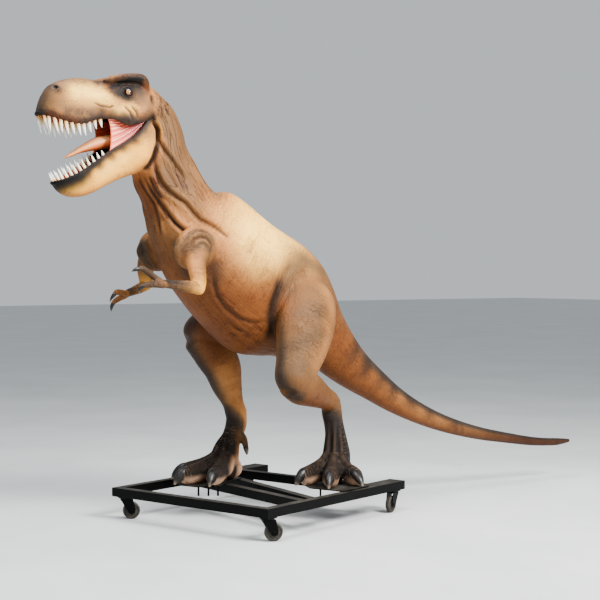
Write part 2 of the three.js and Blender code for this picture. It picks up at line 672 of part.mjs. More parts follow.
for (const [name, { at, swivel }] of Object.entries(CASTERS)) {
  const caster = new THREE.Group();
  caster.position.set(...at, 0);
  frame.add(caster);
  const top = new THREE.BoxGeometry(76, 58, MOUNTING_PLATE);
  place(`stand_caster_plate_${name}`, top, paint.steel, caster).position.z = PLATE_TOP - MOUNTING_PLATE / 2;
  const turned = new THREE.Group();
  turned.rotation.z = THREE.MathUtils.degToRad(swivel);
  caster.add(turned);
  place(`stand_caster_fork_${name}`, shape(fork()), paint.steel, turned);
  place(`stand_caster_wheel_${name}`, wheel(), paint.tyre, turned);
}

// The whole statue, with its origin on the floor under the middle of its box
const model = new THREE.Group();
model.add(statue);
model.updateMatrixWorld(true);
const middle = new THREE.Box3().setFromObject(statue, true).getCenter(point(0, 0, 0));
statue.position.set(-middle.x, -middle.y, 0);

export default model;
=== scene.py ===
import math

import bmesh
import bpy
import numpy as np
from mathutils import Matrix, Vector


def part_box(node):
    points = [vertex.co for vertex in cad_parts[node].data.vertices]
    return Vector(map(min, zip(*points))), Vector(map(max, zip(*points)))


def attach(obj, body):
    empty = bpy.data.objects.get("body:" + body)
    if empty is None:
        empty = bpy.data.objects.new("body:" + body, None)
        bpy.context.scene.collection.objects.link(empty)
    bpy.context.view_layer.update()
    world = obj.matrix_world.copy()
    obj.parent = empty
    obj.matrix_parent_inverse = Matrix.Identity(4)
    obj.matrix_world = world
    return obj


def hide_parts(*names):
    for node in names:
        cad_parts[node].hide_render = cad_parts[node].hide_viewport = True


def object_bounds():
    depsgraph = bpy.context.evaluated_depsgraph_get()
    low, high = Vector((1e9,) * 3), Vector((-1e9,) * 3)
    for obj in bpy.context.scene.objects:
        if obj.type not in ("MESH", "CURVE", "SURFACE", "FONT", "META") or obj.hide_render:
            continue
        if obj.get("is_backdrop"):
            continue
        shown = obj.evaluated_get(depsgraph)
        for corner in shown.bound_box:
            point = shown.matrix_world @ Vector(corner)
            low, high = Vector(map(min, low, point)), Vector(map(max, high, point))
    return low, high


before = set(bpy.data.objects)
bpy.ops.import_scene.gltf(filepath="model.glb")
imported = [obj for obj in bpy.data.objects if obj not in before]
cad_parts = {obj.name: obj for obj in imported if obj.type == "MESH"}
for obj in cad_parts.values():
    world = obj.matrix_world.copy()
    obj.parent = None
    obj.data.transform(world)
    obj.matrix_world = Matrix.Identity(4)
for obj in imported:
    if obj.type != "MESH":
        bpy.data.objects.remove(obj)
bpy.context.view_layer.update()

# The view: the statue seen from its left front, from the height of a person's eyes,
# over a plain pale studio floor that the wheeled frame stands on.
side_bars = [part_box("stand_side_bar_left"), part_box("stand_side_bar_right")]
FRAME_MIDDLE = sum(((low + high) / 4 for low, high in side_bars), Vector())
FRAME_MIDDLE.z = 0.0
CAMERA_OFFSET = Vector((-4.432, -6.729, 1.43))
CAMERA_AZIMUTH = math.radians(35.0)
CAMERA_DIP = math.radians(1.245)

bpy.ops.object.select_all(action="DESELECT")
bpy.ops.object.camera_add(
    location=FRAME_MIDDLE + CAMERA_OFFSET,
    rotation=(math.pi / 2 - CAMERA_DIP, 0.0, -CAMERA_AZIMUTH),
)
camera = bpy.context.object
camera.data.lens = 82.8
camera.data.sensor_width = 36.0
camera.data.clip_end = 100.0
bpy.context.scene.camera = camera

bpy.ops.mesh.primitive_plane_add(size=90.0, location=(0.0, 0.0, 0.0))
floor = bpy.context.object
floor.name = "studio_floor"
floor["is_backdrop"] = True


def linear(red, green, blue):
    """A colour given as on a screen, from 0 to 255, as the shader wants it."""
    def one(v):
        v /= 255.0
        return v / 12.92 if v <= 0.04045 else ((v + 0.055) / 1.055) ** 2.4
    return (one(red), one(green), one(blue), 1.0)


class Wire:
    """A number that runs through a material, which can be used in sums."""

    def __init__(self, tree, socket):
        self.tree = tree
        self.socket = socket

    def sum(self, operation, other=0.0, third=0.0):
        """A new number worked out from this one and one or two others."""
        worker = self.tree.nodes.new("ShaderNodeMath")
        worker.operation = operation
        for slot, value in zip(worker.inputs, (self, other, third)):
            if isinstance(value, Wire):
                self.tree.links.new(value.socket, slot)
            else:
                slot.default_value = value
        return Wire(self.tree, worker.outputs[0])

    def __add__(self, other):
        return self.sum("ADD", other)

    def __sub__(self, other):
        return self.sum("SUBTRACT", other)

    def __rsub__(self, other):
        return self.sum("MULTIPLY_ADD", -1.0, other)

    def __mul__(self, other):
        return self.sum("MULTIPLY", other)

    def __pow__(self, other):
        return self.sum("POWER", other)

    __radd__ = __add__
    __rmul__ = __mul__

    def held(self, low, high):
        """Spreads low to high over 0 to 1, and holds it there."""
        return ((self - low) * (1.0 / (high - low))).sum("MINIMUM", 1.0).sum("MAXIMUM", 0.0)


class Finish:
    """A paint or material: one shader, with what varies over the surface fed into it."""

    def __init__(self, name, **fixed):
        self.material = bpy.data.materials.new(name)
        self.material.use_nodes = True
        self.tree = self.material.node_tree
        self.shader = self.tree.nodes["Principled BSDF"]
        for word, value in fixed.items():
            self.shader.inputs[word.replace("_", " ")].default_value = value

    def feed(self, socket, value):
        if isinstance(value, Wire):
            self.tree.links.new(value.socket, socket)
        else:
            socket.default_value = value

    def node(self, kind, settings=(), inputs=(), output=0):
        """One node with its settings, the values or wires of its sockets, and what comes out."""
        worker = self.tree.nodes.new("ShaderNode" + kind)
        for word, value in dict(settings).items():
            setattr(worker, word, value)
        for socket, value in dict(inputs).items():
            self.feed(worker.inputs[socket], value)
        return Wire(self.tree, worker.outputs[output])

    def object_place(self, stretch=(1.0, 1.0, 1.0)):
        place = self.node("TexCoord", output="Object")
        return self.node("Mapping", inputs={"Vector": place, "Scale": stretch})

    def kept(self, name, output="Fac"):
        """What the mesh keeps with its points under a name."""
        return self.node("Attribute", {"attribute_name": name}, output=output)

    def noise(self, place, scale, detail=4.0, rough=0.55, bend=0.0):
        return self.node("TexNoise", inputs={
            "Vector": place, "Scale": scale, "Detail": detail, "Roughness": rough, "Distortion": bend,
        }, output="Fac")

    def ramp(self, value, stops):
        worker = self.tree.nodes.new("ShaderNodeValToRGB")
        while len(worker.color_ramp.elements) < len(stops):
            worker.color_ramp.elements.new(0.5)
        for stop, (where, colour) in zip(worker.color_ramp.elements, stops):
            stop.position = where
            stop.color = colour
        self.feed(worker.inputs["Fac"], value)
        return Wire(self.tree, worker.outputs["Color"])

    def mix(self, share, first, second, way="MIX"):
        return self.node(
            "Mix", {"data_type": "RGBA", "blend_type": way}, {0: share, 6: first, 7: second}, output=2,
        )

    def bump(self, height, depth, strength=1.0):
        bumped = self.node("Bump", inputs={"Height": height, "Distance": depth, "Strength": strength})
        self.feed(self.shader.inputs["Normal"], bumped)

    def show(self, colour=None, roughness=None):
        if colour is not None:
            self.feed(self.shader.inputs["Base Color"], colour)
        if roughness is not None:
            self.feed(self.shader.inputs["Roughness"], roughness)
        return self.material


cement = Finish("pale_studio_floor", Specular_IOR_Level=0.25)
cement_place = cement.object_place()
cement_cloud = cement.noise(cement_place, 0.8, 6.0, 0.6)
cement.show(
    cement.ramp(cement_cloud, [(0.3, linear(184, 188, 189)), (0.7, linear(200, 203, 203))]),
    cement_cloud.held(-1.0, 1.6),
)
floor.data.materials.append(cement.material)

# The light: a broad soft key from the right front and above, a wide fill from the left,
# and an even pale room all round.
room = bpy.data.worlds.new("pale_room")
room.use_nodes = True
room.node_tree.nodes["Background"].inputs["Color"].default_value = (0.70, 0.74, 0.78, 1.0)
room.node_tree.nodes["Background"].inputs["Strength"].default_value = 0.85
bpy.context.scene.world = room

LAMPS = [
    ("key", (1.6, -4.6, 4.4), 2.2, 1180.0, (1.0, 0.98, 0.93)),
    ("top", (-1.4, -0.6, 5.2), 3.0, 480.0, (1.0, 1.0, 1.0)),
    ("fill", (-6.0, -3.4, 2.6), 3.0, 90.0, (0.95, 0.98, 1.0)),
]
LAMP_AIM = FRAME_MIDDLE + Vector((-0.2, 0.0, 1.2))
for name, place, width, power, colour in LAMPS:
    spot = FRAME_MIDDLE + Vector(place)
    turn = (LAMP_AIM - spot).to_track_quat("-Z", "Y").to_euler()
    bpy.ops.object.light_add(type="AREA", location=spot, rotation=turn)
    lamp = bpy.context.object
    lamp.name = "lamp_" + name
    lamp.data.size = width
    lamp.data.energy = power
    lamp.data.color = colour

# The welded frame and its foot plates: square steel tube and flat plate in satin black
# paint, dusty on top.
black = Finish("satin_black_steel", Metallic=0.0, Specular_IOR_Level=0.06)
black_place = black.object_place()
black_dust = black.noise(black_place, 9.0, 6.0, 0.65)
black_specks = black.noise(black_place, 160.0, 2.0, 0.5)
black_up = black.node("SeparateXYZ", inputs={0: black.node("NewGeometry", output="Normal")}, output=2)
dusty = (black_up.held(0.4, 0.95) * black_dust.held(0.3, 0.75)) * 0.6
black.bump(black_specks * 0.4 + black_dust, 0.0012, 0.35)
black.show(
    black.mix(dusty, linear(1, 1, 1), linear(84, 80, 74)),
    (black_dust * 0.3 + 0.3) + dusty * 0.5,
)
CORNERS = ["front_left", "front_right", "rear_left", "rear_right"]
BLACK_NODES = [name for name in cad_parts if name.startswith("stand_") and "wheel" not in name]


def repaint(node, material):
    """A carried-over node gets a finished material in place of its plain one."""
    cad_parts[node].data.materials.clear()
    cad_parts[node].data.materials.append(material)


for name in BLACK_NODES:
    repaint(name, black.material)

# The wheels: moulded rubber treads, grey-brown with floor dust.
tread = Finish("dusty_rubber", Specular_IOR_Level=0.3)
tread_place = tread.object_place()
tread_dust = tread.noise(tread_place, 40.0, 5.0, 0.6)
tread.bump(tread_dust, 0.001, 0.4)
tread.show(
    tread.ramp(tread_dust, [(0.3, linear(22, 20, 18)), (0.7, linear(58, 52, 46))]),
    tread_dust * 0.3 + 0.55,
)
for corner in CORNERS:
    repaint("stand_caster_wheel_" + corner, tread.material)

# The hide: the whole body as one laminated shell, from snout to tail tip, with its folds
# sculpted in and its colours airbrushed on. It is built up from lofted forms, fused into
# one skin, smoothed where they meet, and then folded, creased and painted.
VOXEL = 0.0056
HIDE_TRIANGLES = 192000


def smooth_rows(rows, steps):
    """A smooth run through rows of numbers, with steps between each row and the next."""
    rows = np.array(rows, float)
    before = np.vstack([2 * rows[0] - rows[1], rows[:-1]])
    after = np.vstack([rows[1:], 2 * rows[-1] - rows[-2]])
    slope = (after - before) / 2.0
    run = [rows[0]]
    for a, b, sa, sb in zip(rows[:-1], rows[1:], slope[:-1], slope[1:]):
        for t in np.linspace(0.0, 1.0, steps + 1)[1:]:
            run.append(
                a * (2 * t**3 - 3 * t**2 + 1) + sa * (t**3 - 2 * t**2 + t)
                + b * (3 * t**2 - 2 * t**3) + sb * (t**3 - t**2)
            )
    return np.array(run)


def unit(v):
    """Directions of length 1."""
    return v / np.maximum(np.linalg.norm(v, axis=-1, keepdims=True), 1e-12)


def ring_frames(middles):
    """The direction ahead, to the side and up at each point of a path."""
    ahead = unit(np.gradient(middles, axis=0))
    side = unit(np.array([0.0, 1.0, 0.0]) - ahead * ahead[:, 1:2])
    return ahead, side, np.cross(ahead, side)


def skin_over(name, rings):
    """A closed mesh object through a run of rings with equal numbers of points."""
    count, sides, _ = rings.shape
    points = rings.reshape(-1, 3)
    hubs = np.array([rings[0].mean(0), rings[-1].mean(0)])
    base = np.arange(count - 1)[:, None] * sides
    a = base + np.arange(sides)
    b = base + (np.arange(sides) + 1) % sides
    quads = np.stack([a, b, b + sides, a + sides], -1).reshape(-1, 4).tolist()
    first, last = len(points), len(points) + 1
    for s in range(sides):
        t = (s + 1) % sides
        quads.append([first, t, s])
        quads.append([last, (count - 1) * sides + s, (count - 1) * sides + t])
    mesh = bpy.data.meshes.new(name)
    mesh.from_pydata(np.vstack([points, hubs]).tolist(), [], quads)
    body = bmesh.new()
    body.from_mesh(mesh)
    bmesh.ops.recalc_face_normals(body, faces=body.faces)
    body.to_mesh(mesh)
    body.free()
    piece = bpy.data.objects.new(name, mesh)
    bpy.context.collection.objects.link(piece)
    return piece


FORMS = []      # the lofted forms that are fused into the hide
AXES = []       # the middle line of each, for what runs along or round it


def loft(name, rows, steps=6, sides=36, side=1, axis=True):
    """A limb or trunk through rows of x, y, z, the reach up, down and sideways, and the pear
    shape, in millimetres from the middle of the wheeled frame."""
    rows = [list(row) + [0.0] * (7 - len(row)) for row in rows]
    run = smooth_rows(rows, steps)
    run[:, 1] *= side
    middles = run[:, :3] / 1000.0 + np.array(FRAME_MIDDLE)
    ahead, across, up = ring_frames(middles)
    turn = np.linspace(0.0, 2 * np.pi, sides, endpoint=False)
    reach = np.where(np.cos(turn) > 0, run[:, 3:4], run[:, 4:5]) / 1000.0 * np.cos(turn)
    wide = run[:, 5:6] / 1000.0 * (1 - run[:, 6:7] * np.cos(turn)) * np.sin(turn)
    rings = middles[:, None] + up[:, None] * reach[..., None] + across[:, None] * wide[..., None]
    FORMS.append(skin_over(name, rings))
    if axis:
        AXES.append((name, middles, across, up, run[:, 3:6].mean(1) / 1000.0))


# The trunk from the back of the head to the hips, then the tail's middle line, which the
# trunk's rows follow to the tip
TRUNK = [
    (-748, 0, 2320, 96, 108, 118), (-700, 0, 2268, 112, 122, 120), (-672, 0, 2180, 132, 150, 124),
    (-664, 0, 2085, 154, 178, 132), (-640, 0, 1990, 176, 196, 142), (-590, 0, 1890, 184, 192, 160, 0.05),
    (-545, 0, 1800, 206, 208, 178, 0.1), (-500, 0, 1720, 262, 244, 196, 0.14),
    (-430, 0, 1640, 324, 285, 220, 0.16), (-350, 0, 1560, 345, 318, 246, 0.16),
    (-250, 0, 1478, 352, 345, 268, 0.16), (-140, 0, 1395, 360, 368, 276, 0.14),
    (-20, 0, 1320, 367, 396, 262, 0.1), (100, 0, 1262, 364, 366, 236, 0.05),
    (215, 0, 1200, 336, 318, 212), (320, 0, 1128, 268, 272, 188), (408, 0, 1056, 198, 218, 166),
]
TAIL_LINE = [
    (484, 985), (634, 852), (830, 722), (1010, 612), (1220, 512), (1440, 432), (1700, 362),
    (1960, 312), (2200, 272), (2400, 254), (2550, 253),
]
TAIL_ROWS = 21
TIP_GIRTH = 22          # half the tail's thickness at its tip
LENGTH_GIRTH = 48       # what its length adds evenly up to the hips
ROOT_GIRTH = 100        # what its root adds, close to the hips alone
tail_run = smooth_rows(TAIL_LINE, 4)
tail_far = np.concatenate([[0.0], np.cumsum(np.linalg.norm(np.diff(tail_run, axis=0), axis=1))])
for share in np.linspace(0.0, 1.0, TAIL_ROWS):
    x, z = (np.interp(share * tail_far[-1], tail_far, tail_run[:, k]) for k in (0, 1))
    girth = TIP_GIRTH + ROOT_GIRTH * (1 - share) ** 4 + LENGTH_GIRTH * (1 - share)
    girth *= 1.0 if share < 0.97 else 0.55
    TRUNK.append((x, 0, z, girth, girth, girth * (0.84 + 0.1 * share)))
loft("trunk", TRUNK, steps=5, sides=56)

# The skull in rows of x, its top, its lip and its half width, and half of its section, from
# the middle of the top round the lip to the palate, as shares of the half width and height
SKULL = [
    (-750, 2408, 2250, 114), (-790, 2452, 2258, 136), (-860, 2466, 2226, 148), (-935, 2462, 2209, 142),
    (-1010, 2448, 2236, 124), (-1090, 2448, 2234, 104), (-1180, 2452, 2207, 98), (-1262, 2436, 2212, 94),
    (-1322, 2408, 2226, 86), (-1358, 2370, 2234, 72), (-1382, 2324, 2238, 54), (-1396, 2286, 2240, 36),
    (-1403, 2264, 2244, 20),
]
SKULL_SECTION = [
    (0, 1), (0.38, 0.985), (0.66, 0.9), (0.83, 0.74), (0.94, 0.46), (1, 0.2),
    (0.99, 0.02), (0.9, -0.03), (0.78, 0.06), (0.45, 0.2), (0, 0.25),
]

# The lower jaw in rows of the way along it from its hinge, its lip, its lower edge and its
# half width, and half of its section, from the middle of its underside round to its floor
JAW = [
    (-30, 26, -70, 98), (0, 24, -110, 112), (55, 8, -165, 124), (130, -14, -204, 129),
    (210, -20, -211, 123), (310, -20, -194, 108), (400, -29, -184, 97), (470, -34, -180, 90),
    (535, -34, -168, 84), (590, -28, -142, 70), (626, -20, -106, 50), (646, -16, -68, 24),
]
JAW_SECTION = [
    (0, 0), (0.42, 0.03), (0.76, 0.18), (0.95, 0.5), (1, 0.85),
    (0.97, 1), (0.84, 0.99), (0.76, 0.84), (0.42, 0.74), (0, 0.72),
]
JAW_HINGE = np.array([-775.0, 0.0, 2245.0]) / 1000.0 + np.array(FRAME_MIDDLE)
JAW_DROP = math.radians(31.2)


def whole_section(half, steps=3):
    """A whole section from half of one, as shares of its half width and height."""
    half = smooth_rows(half, steps)
    half[:, 0] = np.maximum(half[:, 0], 0.0)
    return np.vstack([half, half[-2:0:-1] * (-1.0, 1.0)])


def on_jaw(along, across, up):
    """A place on the jaw: along it from its hinge, across it, and up from it, in metres."""
    c, s = math.cos(JAW_DROP), math.sin(JAW_DROP)
    return np.stack(np.broadcast_arrays(
        JAW_HINGE[0] - along * c - up * s, across, JAW_HINGE[2] - along * s + up * c), -1)


skull_run = smooth_rows(SKULL, 6) / 1000.0
skull_shape = whole_section(SKULL_SECTION)
skull_rings = np.stack([
    np.broadcast_to(skull_run[:, None, 0] + FRAME_MIDDLE.x, (len(skull_run), len(skull_shape))),
    skull_run[:, None, 3] * skull_shape[:, 0],
    skull_run[:, None, 2] + (skull_run[:, None, 1] - skull_run[:, None, 2]) * skull_shape[:, 1],
], -1)
FORMS.append(skin_over("skull", skull_rings))

jaw_run = smooth_rows(JAW, 6) / 1000.0
jaw_shape = whole_section(JAW_SECTION)
jaw_rings = on_jaw(
    jaw_run[:, None, 0], jaw_run[:, None, 3] * jaw_shape[:, 0],
    jaw_run[:, None, 2] + (jaw_run[:, None, 1] - jaw_run[:, None, 2]) * jaw_shape[:, 1],
)
FORMS.append(skin_over("lower_jaw", jaw_rings))


def rolled_edge(name, line, thick):
    """A rounded roll of clay along a line."""
    curve = bpy.data.curves.new(name, "CURVE")
    curve.dimensions = "3D"
    curve.bevel_depth = thick
    curve.bevel_resolution = 3
    curve.use_fill_caps = True
    spline = curve.splines.new("POLY")
    spline.points.add(len(line) - 1)
    for knot, spot in zip(spline.points, line):
        knot.co = (*spot, 1.0)
    roll = bpy.data.objects.new(name, curve)
    bpy.context.collection.objects.link(roll)
    bpy.ops.object.select_all(action="DESELECT")
    roll.select_set(True)
    bpy.context.view_layer.objects.active = roll
    bpy.ops.object.convert(target="MESH")
    FORMS.append(bpy.context.object)


# The lips are rolls round the edges of skull and jaw
LIP_ROLL = 0.0105
LIP_START = 12      # the smoothed row of skull and jaw where the rolls begin
upper, lower = skull_run[LIP_START:], jaw_run[LIP_START:]
upper_edge = np.stack([
    upper[:, 0] + FRAME_MIDDLE.x, 0.98 * upper[:, 3] - LIP_ROLL, upper[:, 2] + 0.8 * LIP_ROLL,
], -1)
lower_edge = on_jaw(lower[:, 0], 0.99 * lower[:, 3] - LIP_ROLL, lower[:, 1] - 0.8 * LIP_ROLL)
for name, half in (("upper_lip", upper_edge), ("lower_lip", lower_edge)):
    rolled_edge(name, np.vstack([half, half[::-1] * (1.0, -1.0, 1.0)]), LIP_ROLL)

# A brow over each eye, from its front to where it turns down behind
BROW = [
    (-1052, 74, 2438, 12, 14, 13), (-1014, 84, 2450, 19, 20, 19), (-970, 95, 2458, 23, 22, 22),
    (-925, 105, 2463, 24, 24, 24), (-885, 112, 2465, 25, 26, 25), (-845, 117, 2463, 24, 28, 25),
    (-818, 114, 2440, 20, 28, 20), (-808, 110, 2405, 14, 16, 14),
]
for side in (-1, 1):
    loft("brow", BROW, 4, 16, side, axis=False)

# The nape carries the back of the head down into the neck
NAPE = [
    (-900, 0, 2400, 60, 60, 90), (-830, 0, 2378, 82, 80, 108), (-770, 0, 2342, 98, 90, 116),
    (-725, 0, 2280, 104, 100, 116), (-690, 0, 2200, 100, 100, 112),
]
loft("nape", NAPE, 5, 32, axis=False)

# Each leg: its side, the rows of its thigh, shank and instep, its ankle's x and y, and the
# way that its foot points, in degrees
LEGS = {
    "left": (-1, [
        (260, 110, 1330, 120, 130, 90), (225, 170, 1250, 170, 200, 128), (170, 235, 1150, 176, 226, 132),
        (90, 305, 1010, 156, 192, 122), (5, 362, 890, 130, 136, 106), (-52, 396, 806, 104, 108, 92),
        (-78, 410, 752, 60, 64, 56),
    ], [
        (-60, 400, 806, 92, 92, 84), (40, 350, 775, 112, 108, 94), (165, 286, 732, 96, 90, 80),
        (285, 222, 690, 68, 70, 62), (372, 176, 658, 58, 60, 57), (412, 156, 634, 34, 34, 34),
    ], [
        (392, 164, 676, 50, 54, 50), (397, 158, 600, 64, 62, 56), (412, 156, 530, 60, 60, 52),
        (428, 155, 455, 64, 66, 56), (436, 154, 345, 84, 86, 76), (438, 152, 285, 84, 92, 80),
    ], (432, -150), 228),
    "right": (1, [
        (250, 110, 1330, 120, 120, 90), (180, 170, 1270, 170, 165, 128), (80, 215, 1205, 172, 165, 132),
        (-60, 255, 1140, 156, 150, 122), (-180, 285, 1085, 132, 128, 106), (-262, 300, 1040, 100, 104, 88),
        (-300, 306, 1012, 56, 60, 52),
    ], [
        (-258, 300, 1036, 98, 94, 88), (-205, 293, 985, 112, 108, 94), (-164, 286, 945, 122, 118, 98),
        (-104, 272, 860, 122, 118, 96), (-72, 260, 745, 96, 94, 84), (-36, 250, 640, 66, 66, 58),
        (-14, 246, 560, 70, 64, 56), (0, 244, 505, 38, 36, 34),
    ], [
        (-14, 246, 580, 66, 60, 52), (-18, 246, 505, 70, 64, 55), (-48, 245, 433, 60, 60, 52),
        (-80, 244, 355, 78, 82, 66), (-98, 242, 285, 86, 96, 78),
    ], (-78, 240), 187),
}

# The forms of a foot, in rows of how far each is from the ankle, how high, and its reach up,
# down and sideways. A toe's own rows are at shares of its length.
TOES = [(-33, 270), (0, 332), (34, 296)]      # the turn from the foot's own way, and the length
HEEL = [(90, 240, 44, 56, 66), (10, 254, 72, 76, 86), (-48, 246, 58, 62, 70), (-82, 240, 28, 38, 38)]
TOE_ROOT = [(-6, 450, 34, 34, 34)]
TOE = [
    (0.07, 366, 50, 50, 42), (0.17, 306, 64, 64, 52), (0.36, 266, 62, 66, 53), (0.6, 246, 54, 60, 52),
    (0.86, 236, 52, 52, 50), (1.0, 234, 36, 42, 38),
]
TOE_END = (234, 16, 20, 18)
TOE_END_GAP = 14
DEWCLAW = [(40, 462, 26, 26, 24), (84, 440, 25, 25, 23), (104, 396, 21, 21, 19), (110, 360, 15, 15, 14)]
DEWCLAW_TURN = 150


def outward(ankle, degrees, distance, height):
    """A place at a distance from an ankle, the way that it lies from there and its height."""
    turn = math.radians(degrees)
    return (ankle[0] + distance * math.cos(turn), ankle[1] + distance * math.sin(turn), height)


def out_from(ankle, degrees, rows):
    """Rows for a loft that runs out from an ankle."""
    return [(*outward(ankle, degrees, far, high), *reach) for far, high, *reach in rows]


CLAWS = []      # where each claw grows: its side, the ankle, the direction and the toe's length
for name, (side, thigh, shank, instep, ankle, heading) in LEGS.items():
    loft("thigh_" + name, thigh, 6, 40, side)
    loft("shank_" + name, shank, 6, 36, side)
    loft("instep_" + name, instep, 6, 36, side)
    loft("heel_" + name, out_from(ankle, heading, HEEL), 5, 28, axis=False)
    for spread, length in TOES:
        way = heading + spread * side
        toe = [(share * length, *row) for share, *row in TOE] + [(length + TOE_END_GAP, *TOE_END)]
        loft("toe_" + name, out_from(ankle, heading, TOE_ROOT) + out_from(ankle, way, toe), 5, 24)
        CLAWS.append((side, ankle, way, length))
    inner = heading + side * DEWCLAW_TURN
    loft("dewclaw_" + name, out_from(ankle, inner, DEWCLAW), 4, 16, axis=False)

# Each arm: its side, the rows of its upper arm and forearm, and those of its two fingers and
# of the claws on them
ARMS = {
    "left": (-1, [
        (-540, 150, 1590, 70, 70, 60), (-575, 225, 1530, 74, 74, 62), (-606, 290, 1450, 54, 56, 46),
        (-620, 335, 1370, 44, 44, 38), (-628, 350, 1322, 34, 36, 32), (-630, 354, 1296, 16, 18, 16),
    ], [
        (-612, 348, 1330, 30, 28, 28), (-690, 360, 1340, 34, 34, 30), (-770, 372, 1350, 27, 27, 24),
        (-850, 380, 1356, 21, 22, 22), (-885, 382, 1358, 12, 12, 12),
    ], [
        [(-862, 372, 1362, 18, 18, 18), (-925, 366, 1402, 18, 18, 16), (-975, 366, 1436, 17, 17, 15),
         (-1004, 368, 1436, 12, 12, 10), (-1014, 368, 1434, 5, 5, 4)],
        [(-862, 386, 1352, 20, 20, 20), (-930, 396, 1356, 19, 19, 17), (-980, 400, 1352, 16, 16, 14),
         (-1000, 402, 1344, 11, 11, 10), (-1006, 402, 1336, 5, 5, 4)],
    ], [
        [(-998, 367, 1437, 12, 12, 10), (-1018, 369, 1434, 11, 11, 8), (-1034, 370, 1428, 7, 7, 5),
         (-1044, 370, 1420, 2, 2, 2)],
        [(-994, 402, 1348, 12, 12, 10), (-1008, 402, 1338, 11, 10, 8), (-1016, 403, 1326, 7, 7, 5),
         (-1019, 403, 1314, 2, 2, 2)],
    ]),
    "right": (1, [
        (-540, 150, 1590, 70, 70, 60), (-585, 220, 1540, 74, 74, 62), (-612, 262, 1460, 56, 56, 46),
        (-606, 284, 1390, 44, 44, 38), (-590, 290, 1340, 34, 36, 32), (-584, 292, 1316, 16, 18, 16),
    ], [
        (-588, 288, 1346, 30, 28, 28), (-640, 270, 1330, 32, 32, 28), (-700, 250, 1312, 26, 26, 24),
        (-752, 232, 1298, 21, 22, 22), (-780, 226, 1290, 12, 12, 12),
    ], [
        [(-760, 226, 1296, 18, 18, 18), (-806, 206, 1304, 18, 18, 16), (-838, 196, 1306, 17, 17, 15),
         (-856, 191, 1292, 12, 12, 10), (-862, 190, 1284, 5, 5, 4)],
        [(-756, 240, 1288, 20, 20, 20), (-792, 252, 1270, 18, 18, 16), (-822, 256, 1250, 15, 15, 13),
         (-832, 258, 1236, 11, 11, 10), (-835, 258, 1228, 5, 5, 4)],
    ], [
        [(-850, 192, 1298, 12, 12, 10), (-864, 190, 1284, 11, 11, 8), (-876, 188, 1270, 7, 7, 5),
         (-886, 186, 1252, 2, 2, 2)],
        [(-829, 257, 1242, 12, 12, 10), (-836, 258, 1228, 11, 10, 8), (-839, 258, 1212, 7, 7, 5),
         (-839, 258, 1196, 2, 2, 2)],
    ]),
}

# A low dome over each shoulder, from front to rear
SHOULDER = [
    (-700, 196, 1540, 25, 25, 18), (-668, 200, 1540, 74, 74, 46), (-620, 206, 1540, 110, 106, 66),
    (-565, 210, 1540, 124, 120, 74), (-510, 208, 1538, 110, 106, 66), (-462, 200, 1534, 74, 74, 46),
    (-430, 194, 1530, 25, 25, 18),
]
for name, (side, upper, fore, fingers, _) in ARMS.items():
    loft("shoulder_" + name, SHOULDER, 4, 32, side, axis=False)
    loft("upper_arm_" + name, upper, 6, 28, side)
    loft("forearm_" + name, fore, 6, 24, side)
    for finger in fingers:
        loft("finger_" + name, finger, 5, 18, side)

# The forms are joined into one closed skin, and the sharp valleys where a limb meets the
# body are smoothed out, as a sculptor blends clay.
bpy.ops.object.select_all(action="DESELECT")
for form in FORMS:
    form.select_set(True)
bpy.context.view_layer.objects.active = FORMS[0]
bpy.ops.object.join()
hide = bpy.context.object
hide.name = "hide"
hide.data.name = "hide"


def finish_modifier(piece, kind, **settings):
    """Adds a modifier to a piece and applies it at once."""
    modifier = piece.modifiers.new(kind.lower(), kind)
    for word, value in settings.items():
        setattr(modifier, word, value)
    bpy.context.view_layer.objects.active = piece
    bpy.ops.object.modifier_apply(modifier=modifier.name)


finish_modifier(hide, "REMESH", mode="VOXEL", voxel_size=VOXEL, adaptivity=0.0)


def read_points(mesh):
    """The place of every point of a mesh."""
    spots = np.empty(len(mesh.vertices) * 3, np.float32)
    mesh.vertices.foreach_get("co", spots)
    return spots.reshape(-1, 3).astype(float)


def read_normals(mesh):
    """The way that the skin faces at every point of a mesh."""
    lean = np.empty(len(mesh.vertices) * 3, np.float32)
    mesh.vertex_normals.foreach_get("vector", lean)
    return lean.reshape(-1, 3).astype(float)


def write_points(mesh, spots):
    """Moves every point of a mesh to its new place."""
    mesh.vertices.foreach_set("co", spots.astype(np.float32).ravel())
    mesh.update()


def near(spots, middle, reach):
    """1 at a place and fading to 0 round it, on both sides of the animal alike."""
    both = spots * 1.0
    both[:, 1] = -np.abs(both[:, 1])
    return np.exp(-(((both - middle) / reach) ** 2).sum(1))


# Where forms meet and are smoothed into each other: the middle and the reach
BLENDS = [
    ((-1.17, -0.20, 1.56), 0.17), ((-0.42, -0.16, 1.48), 0.24), ((-0.60, -0.22, 1.30), 0.14),
    ((-0.30, -0.20, 1.15), 0.20), ((-0.62, -0.40, 0.80), 0.10), ((-0.86, -0.29, 1.02), 0.12),
    ((-0.20, -0.17, 0.65), 0.07), ((-0.60, -0.25, 0.54), 0.07), ((-0.15, -0.16, 0.30), 0.09),
    ((-0.67, -0.24, 0.29), 0.09), ((-1.33, -0.05, 2.38), 0.07),
    ((-0.90, -0.28, 0.97), 0.08), ((-1.22, -0.35, 1.34), 0.05), ((-1.18, -0.29, 1.33), 0.05),
    ((-1.19, -0.14, 1.50), 0.08),
]
BLEND_LEVELS = 8
spots = read_points(hide.data)
blend = np.clip(sum(near(spots, middle, reach) for middle, reach in BLENDS), 0.0, 1.0)
group = hide.vertex_groups.new(name="blend")
